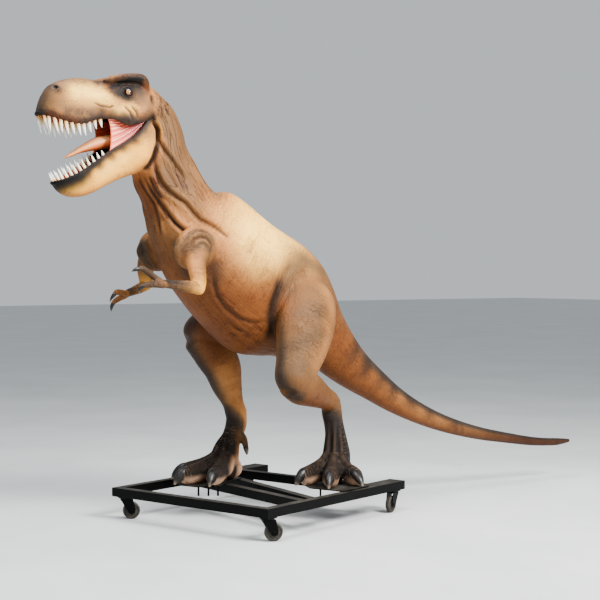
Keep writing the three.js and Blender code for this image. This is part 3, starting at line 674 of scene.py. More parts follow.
for level in range(1, BLEND_LEVELS + 1):
    low, high = (level - 0.5) / BLEND_LEVELS, (level + 0.5) / BLEND_LEVELS
    chosen = np.nonzero((blend > low) & (blend <= high + (level == BLEND_LEVELS)))[0]
    group.add(chosen.tolist(), level / BLEND_LEVELS, "REPLACE")
PASSES = 6
finish_modifier(hide, "SMOOTH", factor=0.5, iterations=PASSES)
finish_modifier(hide, "SMOOTH", factor=0.5, iterations=PASSES * 6, vertex_group="blend")

# Finer skin round the eyes, nostrils and ear holes, where the smallest forms are
EYE = np.array([-1.513, -0.114, 2.382])
NOSTRIL = np.array([-1.908, -0.055, 2.388])
EAR = np.array([-1.373, -0.120, 2.352])
body = bmesh.new()
body.from_mesh(hide.data)
for reach in (0.075, 0.045):
    small = []
    for face in body.faces:
        middle = face.calc_center_median()
        middle.y = -abs(middle.y)
        for place, size in ((EYE, reach), (NOSTRIL, reach * 0.6), (EAR, reach * 0.6)):
            if (middle - Vector(place)).length < size:
                small.append(face)
                break
    edges = list({edge for face in small for edge in face.edges})
    bmesh.ops.subdivide_edges(body, edges=edges, cuts=1, use_grid_fill=True)
body.to_mesh(hide.data)
body.free()


def along_path(spots, path):
    """How far each spot is from a path, how far along it (0 to 1), the way back to it, and the
    way that it runs there."""
    path = np.array(path, float)
    best = np.full(len(spots), 9.0)
    share = np.zeros(len(spots))
    offset = np.zeros((len(spots), 3))
    way = np.zeros((len(spots), 3))
    for i, (a, b) in enumerate(zip(path[:-1], path[1:])):
        t = np.clip(((spots - a) @ (b - a)) / ((b - a) @ (b - a)), 0.0, 1.0)
        apart = spots - a - t[:, None] * (b - a)
        far = np.linalg.norm(apart, axis=1)
        closer = far < best
        best[closer] = far[closer]
        share[closer] = ((i + t) / (len(path) - 1))[closer]
        offset[closer] = apart[closer]
        way[closer] = (b - a) / np.linalg.norm(b - a)
    return best, share, offset, way


# Folds and creases: the path, the half width and depth, how far the skin beside it swells
# on its left and its right hand, and how dark the paint lies in it, partly a dark wash and
# partly painted shade
FOLDS = [
    ([(-1.380, -0.136, 2.263), (-1.336, -0.103, 2.204), (-1.328, -0.110, 2.138), (-1.300, -0.125, 2.084),
      (-1.256, -0.136, 2.026), (-1.211, -0.146, 1.967), (-1.185, -0.154, 1.918)],
     0.012, 0.013, 0.008, 0.003, 1.0),
    ([(-1.347, -0.109, 2.029), (-1.341, -0.110, 1.964), (-1.320, -0.117, 1.910), (-1.285, -0.131, 1.861),
      (-1.234, -0.153, 1.824), (-1.189, -0.171, 1.791), (-1.152, -0.184, 1.743), (-1.114, -0.195, 1.705),
      (-1.057, -0.207, 1.678), (-1.005, -0.217, 1.651), (-0.949, -0.231, 1.607)],
     0.013, 0.014, 0.009, 0.004, 1.0),
    ([(-1.390, -0.063, 1.943), (-1.347, -0.075, 1.856), (-1.309, -0.095, 1.791), (-1.273, -0.121, 1.736),
      (-1.242, -0.143, 1.687), (-1.202, -0.172, 1.643), (-1.156, -0.191, 1.644), (-1.117, -0.201, 1.666)],
     0.013, 0.011, 0.009, 0.004, 0.9),
    ([(-1.404, -0.033, 1.933), (-1.366, -0.043, 1.857), (-1.328, -0.063, 1.792), (-1.305, -0.066, 1.716),
      (-1.282, -0.069, 1.617)], 0.012, 0.008, 0.006, 0.003, 0.7),
    ([(-1.371, -0.086, 1.942), (-1.334, -0.096, 1.867), (-1.298, -0.111, 1.813)],
     0.011, 0.008, 0.005, 0.002, 0.6),
    ([(-1.372, -0.133, 2.253), (-1.337, -0.103, 2.193), (-1.334, -0.108, 2.127), (-1.360, -0.100, 2.040),
      (-1.394, -0.060, 1.970)], 0.010, 0.014, 0.0, 0.004, 1.0),
    ([(-1.254, -0.247, 1.578), (-1.222, -0.247, 1.624), (-1.170, -0.247, 1.648), (-1.113, -0.247, 1.643),
      (-1.067, -0.247, 1.611), (-1.045, -0.247, 1.568)], 0.011, 0.008, 0.006, 0.004, 0.6),
    ([(-1.219, -0.270, 1.558), (-1.196, -0.270, 1.594), (-1.157, -0.270, 1.610), (-1.116, -0.270, 1.601),
      (-1.088, -0.270, 1.570), (-1.080, -0.270, 1.530)], 0.010, 0.008, 0.006, 0.004, 0.7),
    ([(-1.190, -0.290, 1.550), (-1.168, -0.290, 1.572), (-1.140, -0.290, 1.572), (-1.115, -0.290, 1.550)],
     0.009, 0.006, 0.004, 0.003, 0.6),
    ([(-1.285, -0.185, 1.575), (-1.285, -0.170, 1.510), (-1.255, -0.160, 1.450), (-1.205, -0.165, 1.405)],
     0.018, 0.012, 0.004, 0.004, 1.0),
    ([(-1.045, -0.220, 1.420), (-1.033, -0.206, 1.354), (-1.003, -0.195, 1.287), (-0.945, -0.191, 1.219),
      (-0.856, -0.200, 1.157), (-0.770, -0.218, 1.135), (-0.683, -0.234, 1.148)],
     0.014, 0.005, 0.004, 0.002, 0.35),
    ([(-1.010, -0.170, 1.235), (-0.945, -0.165, 1.160), (-0.860, -0.165, 1.100), (-0.770, -0.170, 1.075),
      (-0.690, -0.180, 1.075)], 0.010, 0.005, 0.003, 0.002, 0.35),
    ([(-0.960, -0.130, 1.130), (-0.880, -0.125, 1.075), (-0.790, -0.130, 1.040), (-0.700, -0.140, 1.030)],
     0.010, 0.005, 0.003, 0.002, 0.3),
    ([(-0.640, -0.262, 1.340), (-0.672, -0.262, 1.250), (-0.677, -0.250, 1.180), (-0.653, -0.207, 1.070)],
     0.024, 0.012, 0.0, 0.003, 0.8),
    ([(-0.511, -0.213, 1.476), (-0.601, -0.252, 1.402), (-0.657, -0.264, 1.306)],
     0.030, 0.006, 0.0, 0.002, 0.15),
    ([(-1.708, -0.097, 2.316), (-1.669, -0.103, 2.301), (-1.622, -0.116, 2.295), (-1.599, -0.119, 2.309)],
     0.006, 0.003, 0.002, 0.002, 0.6),
    ([(-1.508, -0.137, 2.308), (-1.481, -0.143, 2.277), (-1.470, -0.145, 2.240)],
     0.009, 0.005, 0.004, 0.003, 0.45),
    ([(-1.546, -0.131, 2.306), (-1.516, -0.141, 2.275), (-1.505, -0.143, 2.239)],
     0.009, 0.004, 0.003, 0.003, 0.4),
]
# Swellings and hollows: the middle, how far it reaches along X, Y and Z, and how high it stands
SWELLS = [
    ((-0.905, -0.290, 1.003), (0.050, 0.090, 0.020), 0.012),
    ((-1.516, -0.135, 2.390), (0.050, 0.060, 0.036), -0.011),
    ((-1.655, -0.100, 2.350), (0.110, 0.060, 0.030), 0.006),
    ((-1.800, -0.090, 2.330), (0.060, 0.060, 0.070), 0.004),
    ((-1.420, -0.130, 2.290), (0.035, 0.060, 0.040), 0.008),
    ((-1.410, -0.120, 2.080), (0.060, 0.080, 0.090), 0.008),
    ((-0.400, -0.300, 1.200), (0.160, 0.120, 0.200), 0.010),
]


def sculpted(spots, lean):
    """How far each spot is pushed out, and how dark the creases are painted there, partly a wash and partly
    painted shade.
    """
    push = np.zeros(len(spots))
    fold_wash_and_shade = np.zeros(len(spots))
    for path, width, depth, left, right, dark in FOLDS:
        for side in (1, -1):
            turned = np.array(path) * (1.0, side, 1.0)
            low, high = turned.min(0) - 5 * width, turned.max(0) + 5 * width
            close = np.nonzero(((spots > low) & (spots < high)).all(1))[0]
            far, share, offset, way = along_path(spots[close], turned)
            fade = np.clip(np.minimum(share, 1 - share) * 6.0, 0.0, 1.0) ** 0.7
            hand = np.sign((np.cross(way, offset) * lean[close]).sum(1)) * side
            swell = np.where(hand > 0, left, right) * np.exp(-(((far - 1.9 * width) / (1.3 * width)) ** 2))
            push[close] += fade * (swell - depth * np.exp(-((far / width) ** 2)))
            fold_wash_and_shade[close] = np.maximum(fold_wash_and_shade[close], dark * fade * np.exp(-((far / (0.58 * width)) ** 2)))
    for middle, reach, height in SWELLS:
        push += height * near(spots, np.array(middle), np.array(reach))
    return push, fold_wash_and_shade


def eye_ring(spots):
    """How far each spot is from the line that each eye looks along, and whether it is at an eye."""
    both = np.stack([spots[:, 0] - EYE[0], spots[:, 2] - EYE[2]], -1)
    at_eye = (np.abs(spots[:, 1]) > 0.07) & (np.abs(both) < 0.08).all(1)
    return np.linalg.norm(both * (1.0, 1.12), axis=1), at_eye


TOE_SPREAD = 33.5      # degrees from one toe's ridge to the next


def foot_ridges(spots, lean, ankle, heading, side):
    """Which spots are on a foot, how near each is to the crest of a toe's ridge (1) or to the
    furrow between two (-1), how far ahead of the ankle it is and how far it leans ahead."""
    turn = math.radians(heading)
    facing = np.array([math.cos(turn), math.sin(turn)])
    middle = np.array(ankle) * 0.001 + np.array(FRAME_MIDDLE)[:2]
    apart = spots[:, :2] - middle
    ahead = apart @ facing
    lean_ahead = lean[:, :2] @ facing
    same_side = np.sign(spots[:, 1] - middle[1] * 0.35) == side
    chosen = (np.hypot(*apart.T) < 0.42) & (spots[:, 2] < 0.64) & same_side
    angle = np.degrees(np.arctan2(facing[0] * apart[:, 1] - facing[1] * apart[:, 0], ahead))
    ridge = np.cos(np.radians(angle / TOE_SPREAD * 360))
    ridge *= np.clip((58 - np.abs(angle)) / 14, 0, 1) * np.clip((0.56 - spots[:, 2]) / 0.14, 0, 1)
    return chosen, ridge * np.clip(ahead / 0.04, 0, 1), ahead, lean_ahead


spots, lean = read_points(hide.data), read_normals(hide.data)
push, _ = sculpted(spots, lean)
for side, _, _, _, ankle, heading in LEGS.values():
    chosen, ridge, _, _ = foot_ridges(spots, lean, ankle, heading, side)
    push += chosen * ridge * 0.006

# Lids round each eye with a pit for the ball, and hollows for nostrils and ear holes
from_eye, at_eye = eye_ring(spots)
lids = 0.009 * np.exp(-(((from_eye - 0.026) / 0.008) ** 2)) - 0.020 * np.exp(-((from_eye / 0.015) ** 4))
lids += 0.003 * np.exp(-(((from_eye - 0.042) / 0.005) ** 2))
push += np.where(at_eye, lids, 0.0)
push -= 0.016 * near(spots, NOSTRIL, np.array([0.010, 0.030, 0.008]))
push += 0.004 * near(spots, NOSTRIL, np.array([0.026, 0.040, 0.022]))
push -= 0.014 * near(spots, EAR, np.array([0.008, 0.040, 0.016]))
SOLE = 0.1845
spots += lean * push[:, None]
spots[:, 2] = np.maximum(spots[:, 2], SOLE)
write_points(hide.data, spots)
finish_modifier(hide, "SMOOTH", factor=0.4, iterations=1)
triangles = sum(len(face.vertices) - 2 for face in hide.data.polygons)
if triangles > HIDE_TRIANGLES:
    finish_modifier(hide, "DECIMATE", decimate_type="COLLAPSE", ratio=HIDE_TRIANGLES / triangles)
hide.vertex_groups.clear()
bpy.ops.object.select_all(action="DESELECT")
hide.select_set(True)
bpy.context.view_layer.objects.active = hide
bpy.ops.object.shade_smooth()

# The way the skin runs: each spot's place along, across and above the middle line of its
# limb, so that wrinkles ring the limbs and streak the neck.
jaw_line = on_jaw(jaw_run[:, 0], 0.0, jaw_run[:, 1:3].mean(1))
skull_line = np.stack([
    skull_run[:, 0] + FRAME_MIDDLE.x, 0 * skull_run[:, 0], skull_run[:, 1:3].mean(1),
], -1)
for name, line, girth in (("skull", skull_line, 0.12), ("jaw", jaw_line, 0.09)):
    _, across, up = ring_frames(line)
    AXES.append((name, line, across, up, np.full(len(line), girth)))


def limb_places(spots):
    """Each spot's limb, its place along, across and above that limb's middle line, and how
    clearly it is on that limb and not on the next."""
    best = np.full(len(spots), 99.0)
    second = np.full(len(spots), 99.0)
    limb = np.zeros(len(spots), int)
    place = np.zeros((len(spots), 3))
    for number, (_, line, across, up, girth) in enumerate(AXES):
        ahead = np.cross(across, up) * -1.0
        run = np.concatenate([[0.0], np.cumsum(np.linalg.norm(np.diff(line, axis=0), axis=1))])
        for start in range(0, len(spots), 20000):
            part = spots[start:start + 20000]
            square = ((part[:, None] - line[None]) ** 2).sum(2)
            nearest = square.argmin(1)
            score = np.sqrt(square[np.arange(len(part)), nearest]) / girth[nearest]
            offset = part - line[nearest]
            was = best[start:start + 20000]
            second[start:start + 20000] = np.minimum(second[start:start + 20000], np.maximum(score, was))
            closer = np.nonzero(score < was)[0]
            k = nearest[closer]
            best[start + closer] = score[closer]
            limb[start + closer] = number
            place[start + closer] = np.stack([
                run[k] + (offset[closer] * ahead[k]).sum(1),
                (offset[closer] * across[k]).sum(1), (offset[closer] * up[k]).sum(1)], -1)
    return limb, place, np.clip((second - best) / 0.35, 0.0, 1.0)


spots, lean = read_points(hide.data), read_normals(hide.data)
limb, place, clear = limb_places(spots)
limb_names = np.array([name for name, *_ in AXES])[limb]
upright = np.array([1.0 if up[:, 2].mean() > -0.2 else -1.0 for _, _, _, up, _ in AXES])[limb]
above = upright * place[:, 2] / np.maximum(np.hypot(place[:, 1], place[:, 2]), 1e-6)
_, fold_wash_and_shade = sculpted(spots, lean)

# The paints, as mixed for the airbrush
PAINTS = {
    "cream": (255, 204, 92), "butter": (255, 178, 60), "sand": (186, 120, 60), "tan": (98, 67, 37),
    "ochre": (106, 57, 18), "rust": (80, 41, 15), "umber": (38, 22, 12), "slate": (32, 26, 24),
    "soot": (6, 5, 5), "flesh": (236, 190, 156), "gum": (110, 20, 12), "throat": (12, 2, 2),
}
PAINTS = {name: np.array(linear(*value)[:3]) for name, value in PAINTS.items()}


def over(below, paint, share):
    """Paint over paint: pale paint covers, dark paint stains, so a thin coat already shows."""
    paler = paint.sum(-1, keepdims=True) > below.sum(-1, keepdims=True)
    return np.where(paler, below * (1 - share) + paint * share, below ** (1 - share) * paint ** share)


# The first coat of the trunk: how far along it from the nape, in metres, and the paints of
# its underside, low side, side, high side and spine. The darker underside is partly painted
# shade, and the cream high side and spine over the back are partly a painted highlight
COAT_AND_PAINTED_LIGHT = [
    (0.00, "tan", "tan", "tan", "tan", "tan"),
    (0.30, "ochre", "tan", "tan", "tan", "tan"),
    (0.48, "ochre", "tan", "tan", "tan", "tan"),
    (0.64, "tan", "sand", "tan", "sand", "tan"),
    (0.78, "ochre", "tan", "sand", "sand", "sand"),
    (0.98, "ochre", "ochre", "sand", "cream", "cream"),
    (1.14, "ochre", "ochre", "ochre", "cream", "cream"),
    (1.32, "ochre", "ochre", "ochre", "sand", "sand"),
    (1.52, "ochre", "ochre", "ochre", "tan", "tan"),
    (1.85, "ochre", "ochre", "ochre", "ochre", "tan"),
    (2.20, "ochre", "ochre", "ochre", "ochre", "tan"),
    (2.70, "ochre", "ochre", "sand", "tan", "tan"),
    (3.10, "rust", "ochre", "tan", "tan", "tan"),
    (3.60, "umber", "rust", "rust", "umber", "umber"),
    (4.20, "umber", "rust", "rust", "umber", "umber"),
]
LEVELS = (-1.0, -0.55, 0.0, 0.55, 1.0)
along = [row[0] for row in COAT_AND_PAINTED_LIGHT]
columns = [[np.interp(place[:, 0], along, [PAINTS[row[k + 1]][c] for row in COAT_AND_PAINTED_LIGHT]) for c in range(3)]
           for k in range(5)]
columns = np.array(columns).transpose(2, 0, 1)
height = np.clip(np.interp(above, LEVELS, range(5)), 0, 3.999)
step = height.astype(int)
rest = (height - step)[:, None]
rest = rest * rest * (3 - 2 * rest)
rows = np.arange(len(spots))
colour = columns[rows, step] ** (1 - rest) * columns[rows, step + 1] ** rest


def coat(chosen, low, high, start=-0.8, end=0.8):
    """A limb's first coat, from the paint of its underside to that of its top."""
    share = np.clip((above[chosen] - start) / (end - start), 0.0, 1.0)[:, None]
    colour[chosen] = PAINTS[low] ** (1 - share) * PAINTS[high] ** share


def part_of(*words):
    """Which spots are on the limbs whose names start with these words."""
    return np.isin(limb_names, [word for word in np.unique(limb_names) if word.startswith(words)])


coat(part_of("upper_arm", "forearm"), "tan", "sand")
coat(part_of("thigh"), "tan", "tan")
coat(part_of("shank_left"), "ochre", "tan")
# The far thigh is coated darker than the near one: painted shadow
coat(part_of("thigh_right"), "rust", "ochre")
coat(part_of("shank_right"), "sand", "tan")
coat(part_of("instep_left"), "tan", "tan")
coat(part_of("instep_right"), "sand", "tan")
coat(part_of("toe"), "slate", "slate")
coat(part_of("finger_left"), "tan", "slate", -0.9, 0.1)
coat(part_of("finger_right"), "ochre", "tan")


def soften(mesh, values, rounds):
    """Lets values run into each other over the skin, as wet paint does."""
    ends = np.empty(len(mesh.edges) * 2, np.int32)
    mesh.edges.foreach_get("vertices", ends)
    a, b = ends.reshape(-1, 2).T
    count = np.maximum(np.bincount(ends, minlength=len(values)), 1)[:, None]
    for _ in range(rounds):
        total = [np.bincount(a, v[b], len(values)) + np.bincount(b, v[a], len(values)) for v in values.T]
        values = (values + np.stack(total, -1) / count) / 2
    return values


colour = soften(hide.data, colour, 110)
from_hinge = spots - JAW_HINGE
jaw_along = -from_hinge[:, 0] * math.cos(JAW_DROP) - from_hinge[:, 2] * math.sin(JAW_DROP)
jaw_above = -from_hinge[:, 0] * math.sin(JAW_DROP) + from_hinge[:, 2] * math.cos(JAW_DROP)
jaw_top, jaw_low, jaw_half = (np.interp(jaw_along, jaw_run[:, 0], jaw_run[:, k]) for k in (1, 2, 3))
on_skull = part_of("skull") & (spots[:, 0] < -1.345)
on_jaw_skin = ((jaw_above < jaw_top + 0.012) & (jaw_above > jaw_low - 0.014) & (jaw_along > -0.012)
               & (np.abs(spots[:, 1]) < jaw_half + 0.012) & ~on_skull)
head = soften(hide.data, np.stack([on_skull, on_jaw_skin], -1).astype(float), 24)
rise = np.clip((above - 0.2) / 0.8, 0, 1)[:, None]
colour = colour * (1 - head[:, :1]) + PAINTS["sand"] ** (1 - rise) * PAINTS["tan"] ** rise * head[:, :1]
fall = np.clip((jaw_above - jaw_low) / (jaw_top - jaw_low) * 3.2, 0, 1)[:, None]
jaw_coat = PAINTS["sand"] * (1 - fall) + PAINTS["butter"] * fall
colour = colour * (1 - head[:, 1:]) + jaw_coat * head[:, 1:]


STROKE_SPREAD = 1.15      # how much wider a stroke lands than it is aimed
STROKE_EDGE = 2.2         # how many reaches from its path a stroke still leaves paint


def spray(paint, path, reach, thick, side=0, only=None):
    """One stroke of the airbrush along a path, on both sides of the animal or on one. A path of
    x and z alone is sprayed straight in from the side, whatever the depth of the skin there."""
    reach *= STROKE_SPREAD
    path = np.array(path, float)
    flat = path.shape[1] == 2
    if flat:
        path = np.insert(path, 1, 0.0, axis=1)
    if len(path) == 1:
        path = np.vstack([path, path + (0.001, 0.0, 0.0)])
    for hand in (-1, 1):
        if side in (0, hand):
            turned = np.stack([path[:, 0], np.abs(path[:, 1]) * hand, path[:, 2]], -1)
            low, high = turned.min(0) - STROKE_EDGE * reach, turned.max(0) + STROKE_EDGE * reach
            aim = spots
            if flat:
                low[1] = high[1] = 0.0
                aim = spots * (1.0, 0.0, 1.0)
                close = ((aim >= low) & (aim <= high)).all(1) & (spots[:, 1] * hand > -0.005)
            else:
                close = ((spots > low) & (spots < high)).all(1)
            close = np.nonzero(close)[0]
            far, _, _, _ = along_path(aim[close], turned)
            share = (thick * np.exp(-((far / reach) ** 2)))[:, None]
            if only is not None:
                share = share * only[close][:, None]
            colour[close] = over(colour[close], PAINTS[paint], share)


# Strokes on the chest, belly and hips: the paint, its path, its reach and how thick it lies
for stroke in (
    # Cream over the upper flank: partly its pale paint and partly a painted highlight
    ("cream", [(-0.80, -0.22, 1.64), (-0.74, -0.20, 1.62), (-0.66, -0.18, 1.58)], 0.09, 0.6),
    ("cream", [(-0.84, -0.26, 1.55), (-0.80, -0.27, 1.48)], 0.07, 0.3),
    # Umber down the crease in front of the thigh: painted shade
    ("umber", [(-0.640, -0.262, 1.340), (-0.672, -0.262, 1.250), (-0.677, -0.250, 1.180),
               (-0.653, -0.207, 1.070)], 0.030, 0.8),
    ("slate", [(-0.42, -0.18, 1.50), (-0.50, -0.24, 1.43), (-0.58, -0.28, 1.33)], 0.050, 0.32),
    ("slate", [(-0.36, -0.16, 1.47), (-0.25, -0.14, 1.42)], 0.040, 0.25),
    ("tan", [(-0.47, -0.30, 1.42), (-0.40, -0.32, 1.30)], 0.10, 0.7),
    # Slate down the crease in front of the shoulder: painted shade
    ("slate", [(-1.285, -0.18, 1.57), (-1.285, -0.16, 1.50), (-1.250, -0.15, 1.44),
               (-1.19, -0.15, 1.40)], 0.036, 0.85),
    # Umber under the arm: painted shade
    ("umber", [(-1.040, -0.225, 1.450), (-1.02, -0.21, 1.38)], 0.035, 0.45),
    # Rust down the lower flank and under the belly: partly its own colour and partly painted shade
    ("rust", [(-1.02, -0.20, 1.30), (-0.90, -0.20, 1.15), (-0.76, -0.19, 1.06)], 0.06, 0.35),
    ("rust", [(-0.97, -0.06, 1.10), (-0.80, -0.04, 1.00), (-0.62, -0.04, 0.96)], 0.05, 0.35),
    # Slate along the arcs round the shoulder's dome: painted shade in its creases
    ("slate", [(-1.25, -0.24, 1.54), (-1.21, -0.25, 1.60), (-1.15, -0.25, 1.63),
               (-1.08, -0.25, 1.60)], 0.028, 0.40),
    ("slate", [(-1.21, -0.28, 1.54), (-1.15, -0.29, 1.58), (-1.10, -0.28, 1.54)], 0.018, 0.35),
    ("sand", [(-1.42, -0.06, 1.80), (-1.36, -0.08, 1.70), (-1.29, -0.09, 1.66)], 0.03, 0.4),
):
    spray(*stroke)

# Bands across the tail, at their distance from the nape, and a dark stripe along its top
TAIL_BANDS = [(2.02, 0.6), (2.16, 0.9), (2.32, 0.5), (2.44, 0.8), (2.62, 0.6), (2.80, 0.5), (3.05, 0.5)]
BAND_WIDTH = 0.042
for distance, strength in TAIL_BANDS:
    band = np.exp(-(((place[:, 0] - distance) / BAND_WIDTH) ** 2)) * np.clip((above + 0.7) / 1.2, 0, 1)
    share = (0.95 * strength * (band * part_of("trunk")))[:, None]
    colour = over(colour, PAINTS["umber"], share)
spine = np.clip((above - 0.30) / 0.45, 0, 1) * np.clip((place[:, 0] - 1.95) / 0.3, 0, 1)
colour = over(colour, PAINTS["slate"], (0.75 * (spine * part_of("trunk")))[:, None])

# Legs: the left one pale with grey smudges. On both, dark down the front is painted shade and
# pale behind is a painted highlight, and the right one is painted darker still, as painted shadow
LEFT, RIGHT = -1, 1
for stroke in (
    # Slate down the front of the left thigh and over the knee: painted shade
    ("slate", [(-0.680, -0.30, 1.18), (-0.690, -0.33, 1.10), (-0.71, -0.38, 0.95), (-0.75, -0.42, 0.84)],
     0.032, 0.65, LEFT),
    ("slate", [(-0.74, -0.42, 0.82), (-0.70, -0.44, 0.76), (-0.62, -0.44, 0.70)], 0.042, 0.70, LEFT),
    # Sand behind the left thigh: a painted highlight
    ("sand", [(-0.30, -0.30, 1.32), (-0.33, -0.36, 1.16), (-0.42, -0.38, 1.00), (-0.50, -0.42, 0.90)],
     0.06, 0.4, LEFT),
    *[("slate", [(x - 0.03, y, z - 0.01), (x + 0.03, y, z + 0.01)], reach, 0.20, LEFT)
      for x, y, z, reach in (
          (-0.50, -0.34, 1.38, 0.05), (-0.60, -0.38, 1.20, 0.045), (-0.41, -0.38, 1.20, 0.045),
          (-0.62, -0.43, 1.02, 0.045), (-0.47, -0.42, 1.06, 0.04), (-0.64, -0.45, 0.88, 0.04))],
    # Slate down the front of the right thigh and rust over it: painted shade and shadow
    ("slate", [(-0.90, 0.26, 1.13), (-0.93, 0.28, 1.04), (-0.86, 0.28, 0.92), (-0.77, 0.25, 0.72),
               (-0.70, 0.24, 0.58)], 0.050, 0.95, RIGHT),
    ("rust", [(-0.83, 0.19, 1.05), (-0.79, 0.18, 0.95)], 0.085, 0.85, RIGHT),
    # Sand behind the right leg: a painted highlight
    ("sand", [(-0.62, 0.10, 0.95), (-0.62, 0.14, 0.80), (-0.60, 0.17, 0.66), (-0.57, 0.18, 0.56)],
     0.075, 0.8, RIGHT),
):
    spray(*stroke)

# Insteps and feet: dark in front and on top, darkest between the ridges that run down to
# the toes, which is painted shade, and lighter on the ridges' crests, a painted highlight;
# flesh-coloured at the heel and behind the claws
for side, _, _, _, ankle, heading in LEGS.values():
    chosen, ridge, ahead, lean_ahead = foot_ridges(spots, lean, ankle, heading, side)
    rear = np.clip((-lean_ahead - 0.05) / 0.45, 0, 1) * np.clip((0.10 - ahead) / 0.08, 0, 1)
    rear *= 1.0 if side > 0 else np.clip((0.50 - spots[:, 2]) / 0.12, 0, 1)
    low_down = np.clip((0.58 + 0.10 * lean_ahead - spots[:, 2]) / 0.12, 0, 1) * (1 - 0.92 * rear)
    sole = rear * np.clip((0.34 - spots[:, 2]) / 0.08, 0, 1)
    for paint, share in (
        # Soot in the furrows between the ridges is painted shade, tan on their crests a painted highlight
        ("slate", low_down), ("soot", np.clip(-ridge, 0, 1) * (1 - rear) * 0.45),
        ("tan", np.clip(ridge, 0, 1) * 0.22), ("sand", rear * 0.6), ("flesh", sole * 0.8),
    ):
        colour = over(colour, PAINTS[paint], (chosen * share)[:, None])
    inner = heading + side * 128
    claw_path = np.array([outward(ankle, inner, 60, 456), outward(ankle, inner, 108, 380)]) / 1000
    spray("tan", claw_path + np.array(FRAME_MIDDLE), 0.030, 0.9, side)
under_claw = np.clip((0.245 - spots[:, 2]) / 0.022, 0, 1)
for side, ankle, way, length in CLAWS:
    spot = np.array([outward(ankle, way, length - 46, 188), outward(ankle, way, length - 72, 188)]) / 1000
    spray("flesh", spot + np.array(FRAME_MIDDLE), 0.054, 1.0, side, only=under_claw)

# Arms and hands: pale elbows, then darker and scaly towards the fingers
for name, (side, upper, fore, *_) in ARMS.items():
    arm = part_of("upper_arm_" + name, "forearm_" + name)
    elbow, shoulder = (np.array(row[:3]) / 1000 * (1, side, 1) + np.array(FRAME_MIDDLE)
                       for row in (fore[0], upper[1]))
    spray("butter", [elbow - (0.0, 0.0, 0.01)], 0.055, 0.8, side, only=arm)
    # Umber on the arm just by the shoulder: painted shade where the arm meets the chest
    spray("umber", [shoulder - (0.05, 0.0, 0.0)], 0.05, 0.5, side, only=arm)
    hand = part_of("forearm_" + name) * np.clip((place[:, 0] - 0.07) / 0.14, 0, 1) * (0.62 + 0.38 * above)
    colour = over(colour, PAINTS["slate"], (0.95 * hand)[:, None])

# Head: a pale snout with a brown bridge and front, dark lips and smudges above them, black
# eye sockets under brown brows, dark nostrils and ear holes, and a tan cheek. The strokes
# come straight from the side, along paths of x and z.
lip = [(x / 1000 + FRAME_MIDDLE.x, low * 0.001 + 0.004) for x, _, low, _ in SKULL[::-1]]
eye, nostril, ear = EYE[::2], NOSTRIL[::2], EAR[::2]
LIP_SMUDGES = [
    (-1.86, 2.250), (-1.80, 2.244), (-1.73, 2.246), (-1.67, 2.258), (-1.61, 2.260), (-1.56, 2.248),
    (-1.52, 2.236),
]
for stroke in (
    ("cream", [(-1.81, 2.368), (-1.74, 2.370), (-1.64, 2.345)], 0.036, 0.9),
    ("cream", [(-1.90, 2.30), (-1.80, 2.300), (-1.70, 2.300)], 0.016, 0.35),
    ("tan", [(-1.94, 2.30), (-1.80, 2.268), (-1.66, 2.272)], 0.030, 0.75),
    ("tan", [(-2.00, 2.28), (-1.95, 2.37), (-1.90, 2.42)], 0.042, 0.95),
    ("tan", [(-1.93, 2.35), (-1.89, 2.33)], 0.036, 0.45),
    ("gum", [(-1.545, 2.234), (-1.485, 2.214), (-1.435, 2.220)], 0.009, 0.8),
    ("tan", [(-1.86, 2.445), (-1.72, 2.455), (-1.64, 2.440)], 0.020, 0.8),
    ("slate", [(-2.00, 2.28), (-1.985, 2.33), (-1.975, 2.375), (-1.95, 2.405)], 0.030, 0.55),
    ("soot", lip[:4], 0.020, 0.9),
    ("soot", lip[3:8], 0.013, 0.9),
    ("rust", lip[3:11], 0.022, 0.6),
    ("slate", lip[6:12], 0.014, 0.6),
    *[("slate", [(x, z), (x + 0.008, z + 0.010)], 0.015, 0.40) for x, z in LIP_SMUDGES],
    ("slate", [(-1.55, 2.240), (-1.48, 2.226)], 0.022, 0.6),
    ("umber", [(-1.43, 2.26), (-1.40, 2.285)], 0.022, 0.4),
    ("umber", [(-1.575, 2.400), (-1.52, 2.425), (-1.45, 2.425), (-1.455, 2.39), (-1.52, 2.380)],
     0.032, 0.92),
    ("soot", [(-1.580, 2.400), (-1.54, 2.418), (-1.46, 2.415), (-1.455, 2.385), (-1.52, 2.362),
              (-1.570, 2.380)], 0.024, 0.65),
    ("rust", [(-1.61, 2.412), (-1.56, 2.440), (-1.49, 2.470), (-1.44, 2.474), (-1.405, 2.460),
              (-1.396, 2.43), (-1.405, 2.40)], 0.022, 0.98),
    ("umber", [(-1.58, 2.445), (-1.49, 2.478), (-1.43, 2.478), (-1.40, 2.45)], 0.014, 0.6),
    ("soot", [(-1.600, 2.405), (-1.556, 2.428), (-1.50, 2.452), (-1.445, 2.456)], 0.011, 0.9),
    ("soot", [eye], 0.026, 0.9),
    ("umber", [(-1.62, 2.435), (-1.68, 2.430)], 0.012, 0.7),
    # Soot in the nostrils, umber in the fold below them and in the ear holes: painted shade in the hollows
    ("soot", [nostril], 0.009, 0.97),
    ("umber", [nostril + (0.006, -0.014)], 0.014, 0.6),
    ("umber", [ear + (0.0, 0.012), ear - (0.0, 0.012)], 0.014, 0.85),
    ("tan", [(-1.46, 2.35), (-1.40, 2.33), (-1.38, 2.29)], 0.034, 0.75),
    ("cream", [(-1.58, 2.29), (-1.50, 2.30)], 0.020, 0.45),
):
    spray(*stroke)

